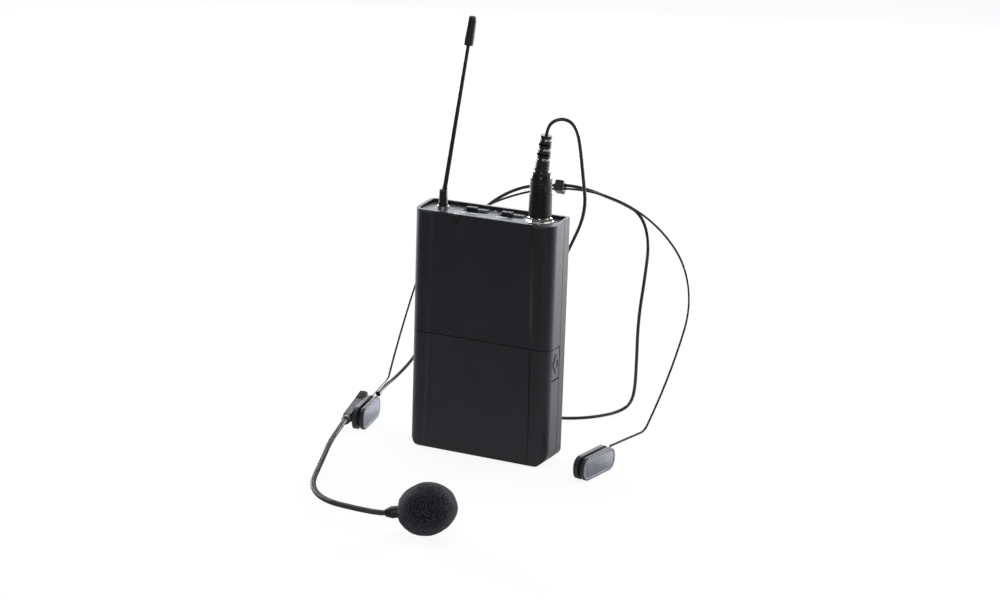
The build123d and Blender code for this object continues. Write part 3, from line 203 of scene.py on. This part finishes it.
def moulded(name, colour, second, roughness, size=0.0004, depth=0.00003):
    made = newMaterial(name, colour, roughness)
    place = objectPlace(made)
    speckle = grain(made, place, size, depth)
    mottle(made, place, plastic["patch"], list(zip(plastic["patchEdge"], (colour, second))))
    roughRange(made, speckle, roughness - plastic["smoother"], roughness + plastic["rougher"])
    return made


looks = {name: moulded(name, **look) for name, look in plasticLooks.items()}

metals = {      # what all metal pieces share
    "depth": 0.000006,
    "smoother": 0.05,
    "rougher": 0.08,
}
metalLooks = {
    "nickel": {"colour": (0.78, 0.76, 0.71), "roughness": 0.2},
    "black steel": {"colour": (0.09, 0.09, 0.1), "roughness": 0.35},
    "spring steel": {"colour": (0.4, 0.4, 0.41), "roughness": 0.3},
    "tin plate": {"colour": (0.62, 0.62, 0.6), "roughness": 0.33, "size": 0.0008,
                  "stretch": (1, 1, 0.15)},
}


def metal(name, colour, roughness, size=0.0004, stretch=(1, 1, 1)):
    made = newMaterial(name, colour, roughness, metallic=1.0)
    speckle = grain(made, objectPlace(made, stretch), size, metals["depth"])
    roughRange(made, speckle, roughness - metals["smoother"], roughness + metals["rougher"])
    return made


looks.update({name: metal(name, **look) for name, look in metalLooks.items()})

resin = {       # the lamp and the lens over it
    "lens smoke": (0.012, 0.011, 0.012),
    "lamp red": (0.35, 0.02, 0.015),
    "size": 0.0009,
    "depth": 0.000008,
    "roughness": (0.16, 0.28),
}


def clearResin(name, r):
    made = newMaterial(name, r[name], r["roughness"][0])
    speckle = grain(made, objectPlace(made), r["size"], r["depth"])
    roughRange(made, speckle, *r["roughness"])
    return made


for name in ("lens smoke", "lamp red"):
    looks[name] = clearResin(name, resin)

ink = {
    "roughness": 0.6,
    "patch": 0.0008,        # the printed white is a little uneven
    "stops": [(0.3, (0.6, 0.6, 0.61)), (0.6, (0.8, 0.8, 0.81))],
}


def printedInk(k):
    made = newMaterial("print white", k["stops"][-1][1], k["roughness"])
    mottle(made, objectPlace(made), k["patch"], k["stops"])
    return made


looks["print white"] = printedInk(ink)

flankPolishAndShade = {      # the sloping sides of the sunken field are smooth and polished, and their colour holds painted light: painted shade on the right flank, a painted highlight on the left
    # painted highlight: the left flank is coloured lighter, as if lit
    "left": (0.017, 0.018, 0.021),
    # painted shade: the right flank is coloured near black, as if in shadow
    "right": (0.0006, 0.0006, 0.0008),
    "roughness": 0.12,
    "inward": 0.2,          # how far a face has to lean towards the middle
}
mixSockets = {      # of the Mix node: the first value, the second and the result
    "FLOAT": (2, 3, 0),
    "RGBA": (6, 7, 2),
}


def mixOver(made, inlet, kind, factor):
    mix = addNode(made, "ShaderNodeMix", data_type=kind)
    first, second, result = mixSockets[kind]
    plain = shaderOf(made).inputs[inlet].links[0].from_socket
    made.node_tree.links.new(plain, mix.inputs[first])
    join(made, factor, 0, mix, 0)
    join(made, mix, result, shaderOf(made), inlet)
    return mix.inputs[second]


def polishAndShadeFlanks(made, f):
    place = addNode(made, "ShaderNodeTexCoord")
    spot = addNode(made, "ShaderNodeSeparateXYZ")
    facing = addNode(made, "ShaderNodeSeparateXYZ")
    join(made, place, "Object", spot, 0)
    join(made, place, "Normal", facing, 0)
    side = mathNode(made, "SIGN", spot, "X")
    lean = mathNode(made, "MULTIPLY", side, 0)
    join(made, facing, "X", lean, 1)
    flank = mathNode(made, "LESS_THAN", lean, 0, -f["inward"])
    # the flanks on the right get painted shade and those on the left a painted highlight; both are
    # also polished smooth
    paintedShadeSide = mathNode(made, "GREATER_THAN", spot, "X", 0)
    first, second, result = mixSockets["RGBA"]
    paintedLightTone = addNode(made, "ShaderNodeMix", data_type="RGBA")
    paintedLightTone.inputs[first].default_value = (*f["left"], 1)
    paintedLightTone.inputs[second].default_value = (*f["right"], 1)
    join(made, paintedShadeSide, 0, paintedLightTone, 0)
    colour = mixOver(made, "Base Color", "RGBA", flank)
    made.node_tree.links.new(paintedLightTone.outputs[result], colour)
    mixOver(made, "Roughness", "FLOAT", flank).default_value = f["roughness"]


for name in ("case black", "door black"):
    polishAndShadeFlanks(looks[name], flankPolishAndShade)

cell = {
    "colour": (0.02, 0.022, 0.028),
    "halfLength": 0.0252,       # along X
    "bands": [(0.0, (0.5, 0.5, 0.5)), (0.02, (0.02, 0.022, 0.028)),
              (0.80, (0.30, 0.13, 0.045)), (0.98, (0.5, 0.5, 0.5))],
    "size": 0.001,
    "depth": 0.000008,
    "roughness": (0.24, 0.36),
}


def cellJacket(c):
    made = newMaterial("cell jacket", c["colour"], c["roughness"][0])
    place = objectPlace(made)
    parts = addNode(made, "ShaderNodeSeparateXYZ")
    join(made, place, "Vector", parts, "Vector")
    along = addNode(made, "ShaderNodeMapRange")
    along.inputs["From Min"].default_value = -c["halfLength"]
    along.inputs["From Max"].default_value = c["halfLength"]
    join(made, parts, "X", along, "Value")
    colourRamp(made, along, "Result", c["bands"], "CONSTANT")
    roughRange(made, grain(made, place, c["size"], c["depth"]), *c["roughness"])
    return made


looks["cell jacket"] = cellJacket(cell)

openFoam = {
    "colour": (0.01, 0.0105, 0.014),
    "roughness": 0.95,
    "specular": 0.12,
    "cells": 2600.0,        # in a metre
    "cellDepth": 0.00025,
    # painted highlights: lighter specks painted into the colour stand for glints on the pores; this
    # many fit in a metre
    "glintSpecks": 2100.0,
    # the dark foam, then the lighter colour of the painted highlight specks
    "stops": [(0.5, (0.003, 0.0032, 0.0045)), (0.72, (0.045, 0.048, 0.062))],
    "sheen": 0.12,
    "sheenRoughness": 0.5,
}


def foamBlack(f):
    made = newMaterial("foam black", f["colour"], f["roughness"], f["specular"])
    place = objectPlace(made)
    cells = addNode(made, "ShaderNodeTexVoronoi", Scale=f["cells"])
    join(made, place, "Vector", cells, "Vector")
    glintNoise = addNode(made, "ShaderNodeTexNoise", Scale=f["glintSpecks"], Detail=2.0)
    join(made, place, "Vector", glintNoise, "Vector")
    # the lighter specks in the colour are painted highlights
    colourRamp(made, glintNoise, "Fac", f["stops"])
    bump = addNode(made, "ShaderNodeBump", Distance=f["cellDepth"], Strength=1.0)
    join(made, cells, "Distance", bump, "Height")
    join(made, bump, "Normal", shaderOf(made), "Normal")
    shaderOf(made).inputs["Sheen Weight"].default_value = f["sheen"]
    shaderOf(made).inputs["Sheen Roughness"].default_value = f["sheenRoughness"]
    return made


looks["foam black"] = foamBlack(openFoam)

finishes = {
    "case black": ("back_shell", "front_cover", "belt_clip"),
    "door black": ("battery_door", "latch_left", "latch_right"),
    "panel grey": ("top_panel",),
    "switch black": ("power_switch_knob", "mute_switch_knob", "power_switch_body",
                     "mute_switch_body"),
    "lens smoke": ("indicator_lens",),
    "lamp red": ("indicator_lamp",),
    "nickel": ("jack_socket", "jack_nut", "plug_pin", "antenna_ferrule", "contact_plates",
               "contact_springs"),
    "plug black": ("plug_body", "plug_collar"),
    "rubber black": ("strain_relief", "antenna_boot", "antenna_whip", "antenna_cap",
                     "cable_gland", "mic_boot", "coil_tie"),
    "board green": ("main_board",),
    "tin plate": ("shield_can",),
    "chip black": ("board_chips",),
    "black steel": ("board_screws", "case_screws", "clip_pin", "door_hinge_pins",
                    "mic_capsule", "mic_grille"),
    "spring steel": ("clip_spring",),
    "tray black": ("battery_tray",),
    "cell jacket": ("battery_lower", "battery_upper"),
    "wire black": ("headband",),
    "pad black": ("left_pad_shell", "right_pad_cushion", "boom_holder", "boom_collar",
                  "band_clip"),
    "pad grey": ("left_pad_cushion", "right_pad_shell"),
    "cable black": ("lead_upper", "lead_lower", "lead_coil"),
    "gooseneck black": ("gooseneck",),
    "foam black": ("windscreen",),
}


def dress(piece, material):
    piece.data.materials.clear()
    piece.data.materials.append(material)


for finish, names in finishes.items():
    for name in names:
        dress(cad[name], looks[finish])
print("materials on CAD pieces")

cable = {
    "length": 1.2,
    "diameter": 0.0015,
    "turns": 11.5,
    "pointsPerTurn": 16,
    "centre": (-0.016, 0.042),
    "radii": (0.00835, 0.0099, 0.01145),
    "outward": 1.02,        # the smooth line runs a little inside its points
    "levels": (0.0013, 0.0028, 0.0043, 0.0058),
    # which radius and which level each turn takes
    "order": [(2, 2), (2, 3), (1, 3), (0, 3), (0, 2), (1, 2), (1, 1), (0, 1), (0, 0), (1, 0),
              (2, 1), (2, 0)],
    "crossing": 0.35,       # share of a turn in which the lead moves to its next place
    "fineness": 6,
    "roundness": 3,
}

cableOver = [   # from the plug's boot over the loop and down behind the pack
    (0.023647, 0.0, 0.139719), (0.023947, 0.0001, 0.142319), (0.025347, 0.0005, 0.144819),
    (0.027647, 0.0015, 0.146319), (0.030447, 0.0027, 0.146619), (0.032947, 0.004, 0.145219),
    (0.034447, 0.0056, 0.142219), (0.035147, 0.0076, 0.137419), (0.035347, 0.012, 0.122419),
    (0.035147, 0.0175, 0.105419), (0.025347, 0.022, 0.086419), (0.016, 0.025, 0.068),
    (0.008, 0.029, 0.047), (0.002, 0.033, 0.027), (-0.0015, 0.0328, 0.011),
    (-0.005, 0.032, 0.0065), (-0.0105, 0.0312, 0.0047),
]
cableBack = [   # from the coil round behind, up to the band, along it and down to the left pad
    (-0.013, 0.0528, 0.0013), (0.008, 0.054, 0.0008), (0.019, 0.061, 0.0008),
    (0.0255, 0.07, 0.0008), (0.0285, 0.0775, 0.0008), (0.0325, 0.0805, 0.0035),
    (0.036, 0.078, 0.011), (0.0372, 0.0755, 0.026), (0.0372, 0.075, 0.046),
    (0.0392, 0.076, 0.067), (0.0386, 0.08, 0.0815), (0.0321, 0.0849, 0.0911),
    (0.0227, 0.0874, 0.0941), (0.0128, 0.0892, 0.096), (0.0039, 0.0907, 0.0975),
    (-0.0049, 0.0902, 0.0985), (-0.0134, 0.09, 0.0975), (-0.0251, 0.0894, 0.096),
    (-0.0336, 0.0864, 0.0926), (-0.041, 0.0823, 0.0872), (-0.0498, 0.0761, 0.0772),
    (-0.0553, 0.0675, 0.0645), (-0.0582, 0.06, 0.05), (-0.0558, 0.052, 0.031),
    (-0.0574, 0.0425, 0.0212), (-0.0603, 0.0324, 0.015), (-0.0615, 0.025, 0.0129),
    (-0.0612, 0.0189, 0.0114),
]


def coilTurns(c):
    points = []
    for step in range(int(c["turns"] * c["pointsPerTurn"]) + 1):
        turned = step / c["pointsPerTurn"]
        angle = -math.pi / 2 - 2 * math.pi * turned
        slot = min(int(turned + 0.5), len(c["order"]) - 1)
        here, last = c["order"][slot], c["order"][max(slot - 1, 0)]
        share = min(max((turned + 0.5 - slot) / c["crossing"], 0), 1)
        share = share * share * (3 - 2 * share)
        radius = c["radii"][last[0]] * (1 - share) + c["radii"][here[0]] * share
        height = c["levels"][last[1]] * (1 - share) + c["levels"][here[1]] * share
        radius *= c["outward"]
        points.append((c["centre"][0] + radius * math.cos(angle),
                       c["centre"][1] + radius * math.sin(angle), height))
    return points


def nurbsLine(name, points, fineness):
    line = bpy.data.curves.new(name, "CURVE")
    line.dimensions = "3D"
    spline = line.splines.new("NURBS")
    spline.points.add(len(points) - 1)
    for point, place in zip(spline.points, points):
        point.co = (*place, 1)
    spline.order_u = 3
    spline.use_endpoint_u = True
    line.resolution_u = fineness
    return line


def layCable(c):
    line = nurbsLine("headset_cable", cableOver + coilTurns(c) + cableBack[1:], c["fineness"])
    line.bevel_depth = c["diameter"] / 2
    line.bevel_resolution = c["roundness"]
    line.use_fill_caps = True
    line.materials.append(looks["cable black"])
    made = bpy.data.objects.new("headset_cable", line)
    scene.collection.objects.link(made)
    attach(made, "pack")
    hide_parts("lead_upper", "lead_coil", "lead_lower")


layCable(cable)
print("cable laid")


def finishPiece(shape, name, body, materials, sharp=35):
    bmesh.ops.recalc_face_normals(shape, faces=shape.faces)
    mesh = bpy.data.meshes.new(name)
    shape.to_mesh(mesh)
    shape.free()
    for material in materials:
        mesh.materials.append(material)
    for face in mesh.polygons:
        face.use_smooth = True
    mesh.set_sharp_from_angle(angle=math.radians(sharp))
    piece = bpy.data.objects.new(name, mesh)
    scene.collection.objects.link(piece)
    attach(piece, body)
    return piece


pads = {
    "length": 0.024,
    "height": 0.010,
    "corner": 0.0042,
    "cornerSteps": 9,
    "plate": 0.002,
    "gap": 0.0014,
    "rim": 0.00045,         # rounding of a plate's edges
    "rimSteps": 3,
    "square": 69,           # degrees: edges sharper than this are still to be rounded
    "greyTo": 0.6,          # the grey goes round the rim until its normal's z is this
    "border": 0.0007,       # from the edge of the grey face to its fine moulded line
    "line": 0.00022,
    "lineDepth": 0.6,       # share of the line's width
    "webLength": 0.0196,    # the web behind the right face joins it to its cushion
    "webHeight": 0.0036,
    "webDown": 0.0014,
    "middleHeight": 0.0052,
    "pitch": 1.2,
    "right": {"spot": (0.0554, -0.004), "turn": -9.0},
    "left": {"spot": (-0.05835, 0.0064), "turn": 11.0},
}


def padPlace(p, side):
    turn, pitch = math.radians(p[side]["turn"]), math.radians(p["pitch"])
    way = Vector((-math.sin(turn), math.cos(turn), 0))
    back = Vector((0, 0, 1)) * math.sin(pitch) + way * math.cos(pitch)
    out = Vector((way.y, -way.x, 0))
    turned = Matrix((back, out.cross(back), out)).transposed().to_4x4()
    return Matrix.Translation((*p[side]["spot"], p["middleHeight"])) @ turned


def addBlock(shape, size, middle):
    block = bmesh.ops.create_cube(shape, size=1)["verts"]
    bmesh.ops.scale(shape, verts=block, vec=size)
    bmesh.ops.translate(shape, verts=block, vec=middle)


def roundEdges(shape, edges, radius, steps):
    bmesh.ops.bevel(shape, geom=edges, offset=radius, segments=steps, profile=0.5,
                    affect="EDGES", material=-1)


def roundedPlate(shape, p):
    addBlock(shape, (p["length"], p["height"], p["plate"]), (0, 0, -p["plate"] / 2))
    upright = [e for e in shape.edges
               if abs(e.verts[0].co.z - e.verts[1].co.z) > p["plate"] / 2]
    roundEdges(shape, upright, p["corner"], p["cornerSteps"])
    square = [e for e in shape.edges if e.calc_face_angle(0) > math.radians(p["square"])]
    roundEdges(shape, square, p["rim"], p["rimSteps"])


def greyFace(p, side, replaced, web):
    shape = bmesh.new()
    roundedPlate(shape, p)
    front = max((f for f in shape.faces if f.normal.z > 0.99), key=lambda f: f.calc_area())
    depth = p["line"] * p["lineDepth"]
    for thickness, rise in ((p["border"], 0), (p["line"], -depth), (p["line"], depth)):
        bmesh.ops.inset_region(shape, faces=[front], thickness=thickness, depth=rise)
    for face in shape.faces:
        face.material_index = 1 if face.normal.z > p["greyTo"] else 0
    if web:
        addBlock(shape, (p["webLength"], p["webHeight"], p["gap"]),
                 (0, -p["webDown"], -p["plate"] - p["gap"] / 2))
    bmesh.ops.transform(shape, matrix=padPlace(p, side), verts=shape.verts)
    made = finishPiece(shape, side + "_pad_face", "pack",
                       [looks["pad black"], looks["pad grey"]])
    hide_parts(replaced)


greyFace(pads, "right", "right_pad_shell", True)
greyFace(pads, "left", "left_pad_cushion", False)
print("pads made")

neck = {
    "route": [(-0.06231, -0.00995, 0.00637), (-0.0542, -0.0365, 0.0067), (-0.0459, -0.0568, 0.0069),
              (-0.0262, -0.1053, 0.0075), (0.0076, -0.109, 0.0079), (0.0108, -0.1077, 0.0084)],
    "fineness": 80,
    "ridge": 0.00115,
    "valley": 0.00098,
    "pitch": 0.00078,
    "stepsPerRidge": 4,
    "highSteps": (1, 2),        # those of the steps that stand at the ridge's radius
    "sides": 14,
}


def curvePoints(route, fineness):
    carrier = bpy.data.objects.new("route", nurbsLine("route", route, fineness))
    line = bpy.data.meshes.new_from_object(carrier)
    points = [v.co.copy() for v in line.vertices]
    bpy.data.objects.remove(carrier)
    return points


def evenSteps(points, step):
    spots, left = [points[0].copy()], step
    for start, end in zip(points, points[1:]):
        run = (end - start).length
        done = 0.0
        while run - done >= left:
            done += left
            spots.append(start.lerp(end, done / run))
            left = step
        left -= run - done
    return spots


def ridgedNeck(n):
    spots = evenSteps(curvePoints(n["route"], n["fineness"]), n["pitch"] / n["stepsPerRidge"])
    shape = bmesh.new()
    way = (spots[1] - spots[0]).normalized()
    stand = way.to_track_quat("Z", "Y")
    place = Matrix.Translation(spots[0]) @ stand.to_matrix().to_4x4()
    bmesh.ops.create_circle(shape, segments=n["sides"], radius=n["valley"], cap_ends=False,
                            matrix=place)
    edges = list(shape.edges)
    bmesh.ops.holes_fill(shape, edges=edges, sides=0)
    for index in range(1, len(spots)):
        ahead = spots[min(index + 1, len(spots) - 1)] - spots[index - 1]
        stand = way.rotation_difference(ahead.normalized()) @ stand
        way = ahead.normalized()
        wanted = n["ridge"] if index % n["stepsPerRidge"] in n["highSteps"] else n["valley"]
        nextPlace = (Matrix.Translation(spots[index]) @ stand.to_matrix().to_4x4()
                     @ Matrix.Scale(wanted / n["valley"], 4))
        grown = bmesh.ops.extrude_edge_only(shape, edges=edges)["geom"]
        ring = [g for g in grown if isinstance(g, bmesh.types.BMVert)]
        edges = [g for g in grown if isinstance(g, bmesh.types.BMEdge)]
        bmesh.ops.transform(shape, matrix=nextPlace @ place.inverted(), verts=ring)
        place = nextPlace
    bmesh.ops.holes_fill(shape, edges=edges, sides=0)
    made = finishPiece(shape, "ridged_gooseneck", "boom",
                       [looks["gooseneck black"]], 80)
    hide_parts("gooseneck")


ridgedNeck(neck)
print("gooseneck made")

foamBall = {
    "centre": (0.0256, -0.1016, 0.0108),
    "axis": (12.2, 5.0, 2.0),       # from the microphone's boot to the nose
    "acrossRadius": 0.0105,
    "alongRadius": 0.0119,
    "fineness": 7,
    "lump": 0.00035,
    "lumpSize": 0.006,
    "pore": 0.00016,
    "poreSize": 0.00045,
    "mouth": 0.00448,               # radius within which the foam turns in round the boot
    "mouthDepth": 0.0016,
    "flats": [((-0.62, -0.25, 0.74), 0.05), ((0.62, 0.2, -0.75), 0.055)],
    "flatFade": 4,
}


def foamWindscreen(f):
    axis = Vector(f["axis"]).normalized()
    stand = axis.to_track_quat("Z", "Y").to_matrix()
    shape = bmesh.new()
    bmesh.ops.create_icosphere(shape, subdivisions=f["fineness"], radius=1)
    flats = [(Vector(way).normalized(), share) for way, share in f["flats"]]
    for vert in shape.verts:
        local = vert.co.normalized()
        world = stand @ Vector((local.x * f["acrossRadius"], local.y * f["acrossRadius"],
                                local.z * f["alongRadius"]))
        out = world.normalized()
        for way, share in flats:
            world *= 1 - share * max(out.dot(way), 0) ** f["flatFade"]
        away = math.hypot(local.x, local.y) * f["acrossRadius"]
        if local.z < 0 and away < f["mouth"]:
            world += axis * f["mouthDepth"] * (1 - away / f["mouth"])
        spot = world + Vector(f["centre"])
        wave = noise.noise(spot / f["lumpSize"]) * f["lump"]
        grit = noise.noise(spot / f["poreSize"]) * f["pore"]
        vert.co = spot + out * (wave + grit)
    made = finishPiece(shape, "foam_windscreen", "boom", [looks["foam black"]], 180)
    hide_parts("windscreen")


foamWindscreen(foamBall)
print("windscreen made")

labels = {
    "size": 0.0029,
    "stroke": 0.0001,       # added to the letters' outline
    "thick": 0.00004,
    "fineness": 3,
    "words": [("OFF ON", (-0.0107, -0.0027)), ("ON", (-0.0070, 0.0062)),
              ("OFF", (0.0056, -0.0022)), ("ON", (0.0098, 0.0058))],
    "dots": [(0.0165, -0.0012), (-0.0015, 0.0066), (-0.0255, -0.0009)],
    "dotRadius": 0.0006,
    "dotSides": 16,
    "merge": 0.000002,
}


def letters(words, p):
    text = bpy.data.curves.new("letters", "FONT")
    text.body = words
    text.size = p["size"]
    text.align_x = "CENTER"
    text.align_y = "CENTER"
    text.extrude = p["thick"] / 2
    text.offset = p["stroke"]
    text.resolution_u = p["fineness"]
    carrier = bpy.data.objects.new("letters", text)
    mesh = bpy.data.meshes.new_from_object(carrier)
    bpy.data.objects.remove(carrier)
    return mesh


def printPanel(p):
    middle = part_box("top_panel")[1].z + p["thick"] / 2
    shape = bmesh.new()
    for words, spot in p["words"]:
        before = set(shape.verts)
        shape.from_mesh(letters(words, p))
        fresh = [v for v in shape.verts if v not in before]
        bmesh.ops.translate(shape, verts=fresh, vec=(*spot, middle))
    for spot in p["dots"]:
        bmesh.ops.create_cone(shape, cap_ends=True, segments=p["dotSides"],
                              radius1=p["dotRadius"], radius2=p["dotRadius"],
                              depth=p["thick"], matrix=Matrix.Translation((*spot, middle)))
    bmesh.ops.remove_doubles(shape, verts=shape.verts, dist=p["merge"])
    finishPiece(shape, "panel_print", "pack", [looks["print white"]])


printPanel(labels)
print("panel printed")

studio = {
    "white": 1.0,           # what the camera sees round the object
    "skyLight": 0.5,
    "mirrored": (0.05, 1.25),       # what gloss shows of the room: ahead of the object, behind it
    "skySweep": (-0.3, 0.4),        # where that change starts and ends, front to back
    "floorSweep": (-0.25, 0.25),    # the same on the floor, in metres
    "floorHalf": 4,
    "floorHeight": -0.0002,
    "floorColour": (0.85, 0.85, 0.85),
    "floorRoughness": 0.9,
    "floorGlow": 0.9,       # share of the floor's white that needs no lamp
    "lampColour": (0.92, 0.96, 1.0),
}
lamps = {       # width and height in metres
    "key": {"place": (0.45, -1.2, 0.5), "aim": (0, 0, 0.06), "size": (0.35, 0.6), "watts": 3.5},
    "left": {"place": (-1.0, 0.35, 0.12), "aim": (0, 0, 0.05), "size": (0.5, 0.5), "watts": 20.0},
    "right": {"place": (0.6, 1.1, 0.1), "aim": (0.03, 0, 0.05), "size": (0.8, 0.4), "watts": 38.0},
    "back": {"place": (-0.5, 1.1, 0.42), "aim": (0, 0, 0.1), "size": (0.9, 0.5), "watts": 5.0},
    "top": {"place": (0, 0.1, 1.4), "aim": (0, 0, 0.05), "size": (1.0, 1.0), "watts": 8.0},
}


def chooseRay(made, seen, mirrored, lit):
    path = addNode(made, "ShaderNodeLightPath")
    straight = mathNode(made, "MAXIMUM", path, "Is Camera Ray")
    join(made, path, "Is Transmission Ray", straight, 1)
    gloss = addNode(made, "ShaderNodeMix", A=lit)
    join(made, mirrored, "Result", gloss, "B")
    join(made, path, "Is Glossy Ray", gloss, "Factor")
    chosen = addNode(made, "ShaderNodeMix", B=seen)
    join(made, gloss, "Result", chosen, "A")
    join(made, straight, 0, chosen, "Factor")
    return chosen


def frontToBack(made, outlet, reach, values):
    place = addNode(made, "ShaderNodeTexCoord")
    split = addNode(made, "ShaderNodeSeparateXYZ")
    spread = addNode(made, "ShaderNodeMapRange", interpolation_type="SMOOTHSTEP")
    for key, value in zip(("From Min", "From Max", "To Min", "To Max"), reach + values):
        spread.inputs[key].default_value = value
    join(made, place, outlet, split, 0)
    join(made, split, "Y", spread, "Value")
    return spread


def lightWorld(s):
    world = bpy.data.worlds.new("studio")
    scene.world = world
    world.use_nodes = True
    back = world.node_tree.nodes["Background"]
    back.inputs["Color"].default_value = (1, 1, 1, 1)
    mirrored = frontToBack(world, "Generated", s["skySweep"], s["mirrored"])
    chosen = chooseRay(world, s["white"], mirrored, s["skyLight"])
    join(world, chosen, "Result", back, "Strength")


def floorWhite(s):
    made = newMaterial("floor white", s["floorColour"], s["floorRoughness"], 0.0)
    mirrored = frontToBack(made, "Object", s["floorSweep"], s["mirrored"])
    glow = addNode(made, "ShaderNodeEmission", Color=(1, 1, 1, 1))
    join(made, chooseRay(made, s["white"], mirrored, 0.0), "Result", glow, "Strength")
    path = addNode(made, "ShaderNodeLightPath")
    less = mathNode(made, "MULTIPLY", path, "Is Diffuse Ray", -s["floorGlow"])
    share = mathNode(made, "ADD", less, 0, s["floorGlow"])
    blend = addNode(made, "ShaderNodeMixShader")
    join(made, share, 0, blend, 0)
    join(made, shaderOf(made), "BSDF", blend, 1)
    join(made, glow, "Emission", blend, 2)
    join(made, blend, "Shader", made.node_tree.nodes["Material Output"], "Surface")
    return made


def layFloor(s):
    mesh = bpy.data.meshes.new("floor")
    shape = bmesh.new()
    bmesh.ops.create_grid(shape, x_segments=1, y_segments=1, size=s["floorHalf"])
    bmesh.ops.translate(shape, verts=shape.verts, vec=(0, 0, s["floorHeight"]))
    shape.to_mesh(mesh)
    shape.free()
    floor = bpy.data.objects.new("floor", mesh)
    scene.collection.objects.link(floor)
    dress(floor, floorWhite(s))


def hangLamp(name, lamp, colour):
    data = bpy.data.lights.new(name, "AREA")
    data.shape = "RECTANGLE"
    data.size, data.size_y = lamp["size"]
    data.energy = lamp["watts"]
    data.color = colour
    hung = bpy.data.objects.new(name, data)
    scene.collection.objects.link(hung)
    hung.location = lamp["place"]
    aimed = Vector(lamp["aim"]) - Vector(lamp["place"])
    hung.rotation_euler = aimed.to_track_quat("-Z", "Y").to_euler()


lightWorld(studio)
layFloor(studio)
for name, lamp in lamps.items():
    hangLamp(name, lamp, studio["lampColour"])
print("studio lit")
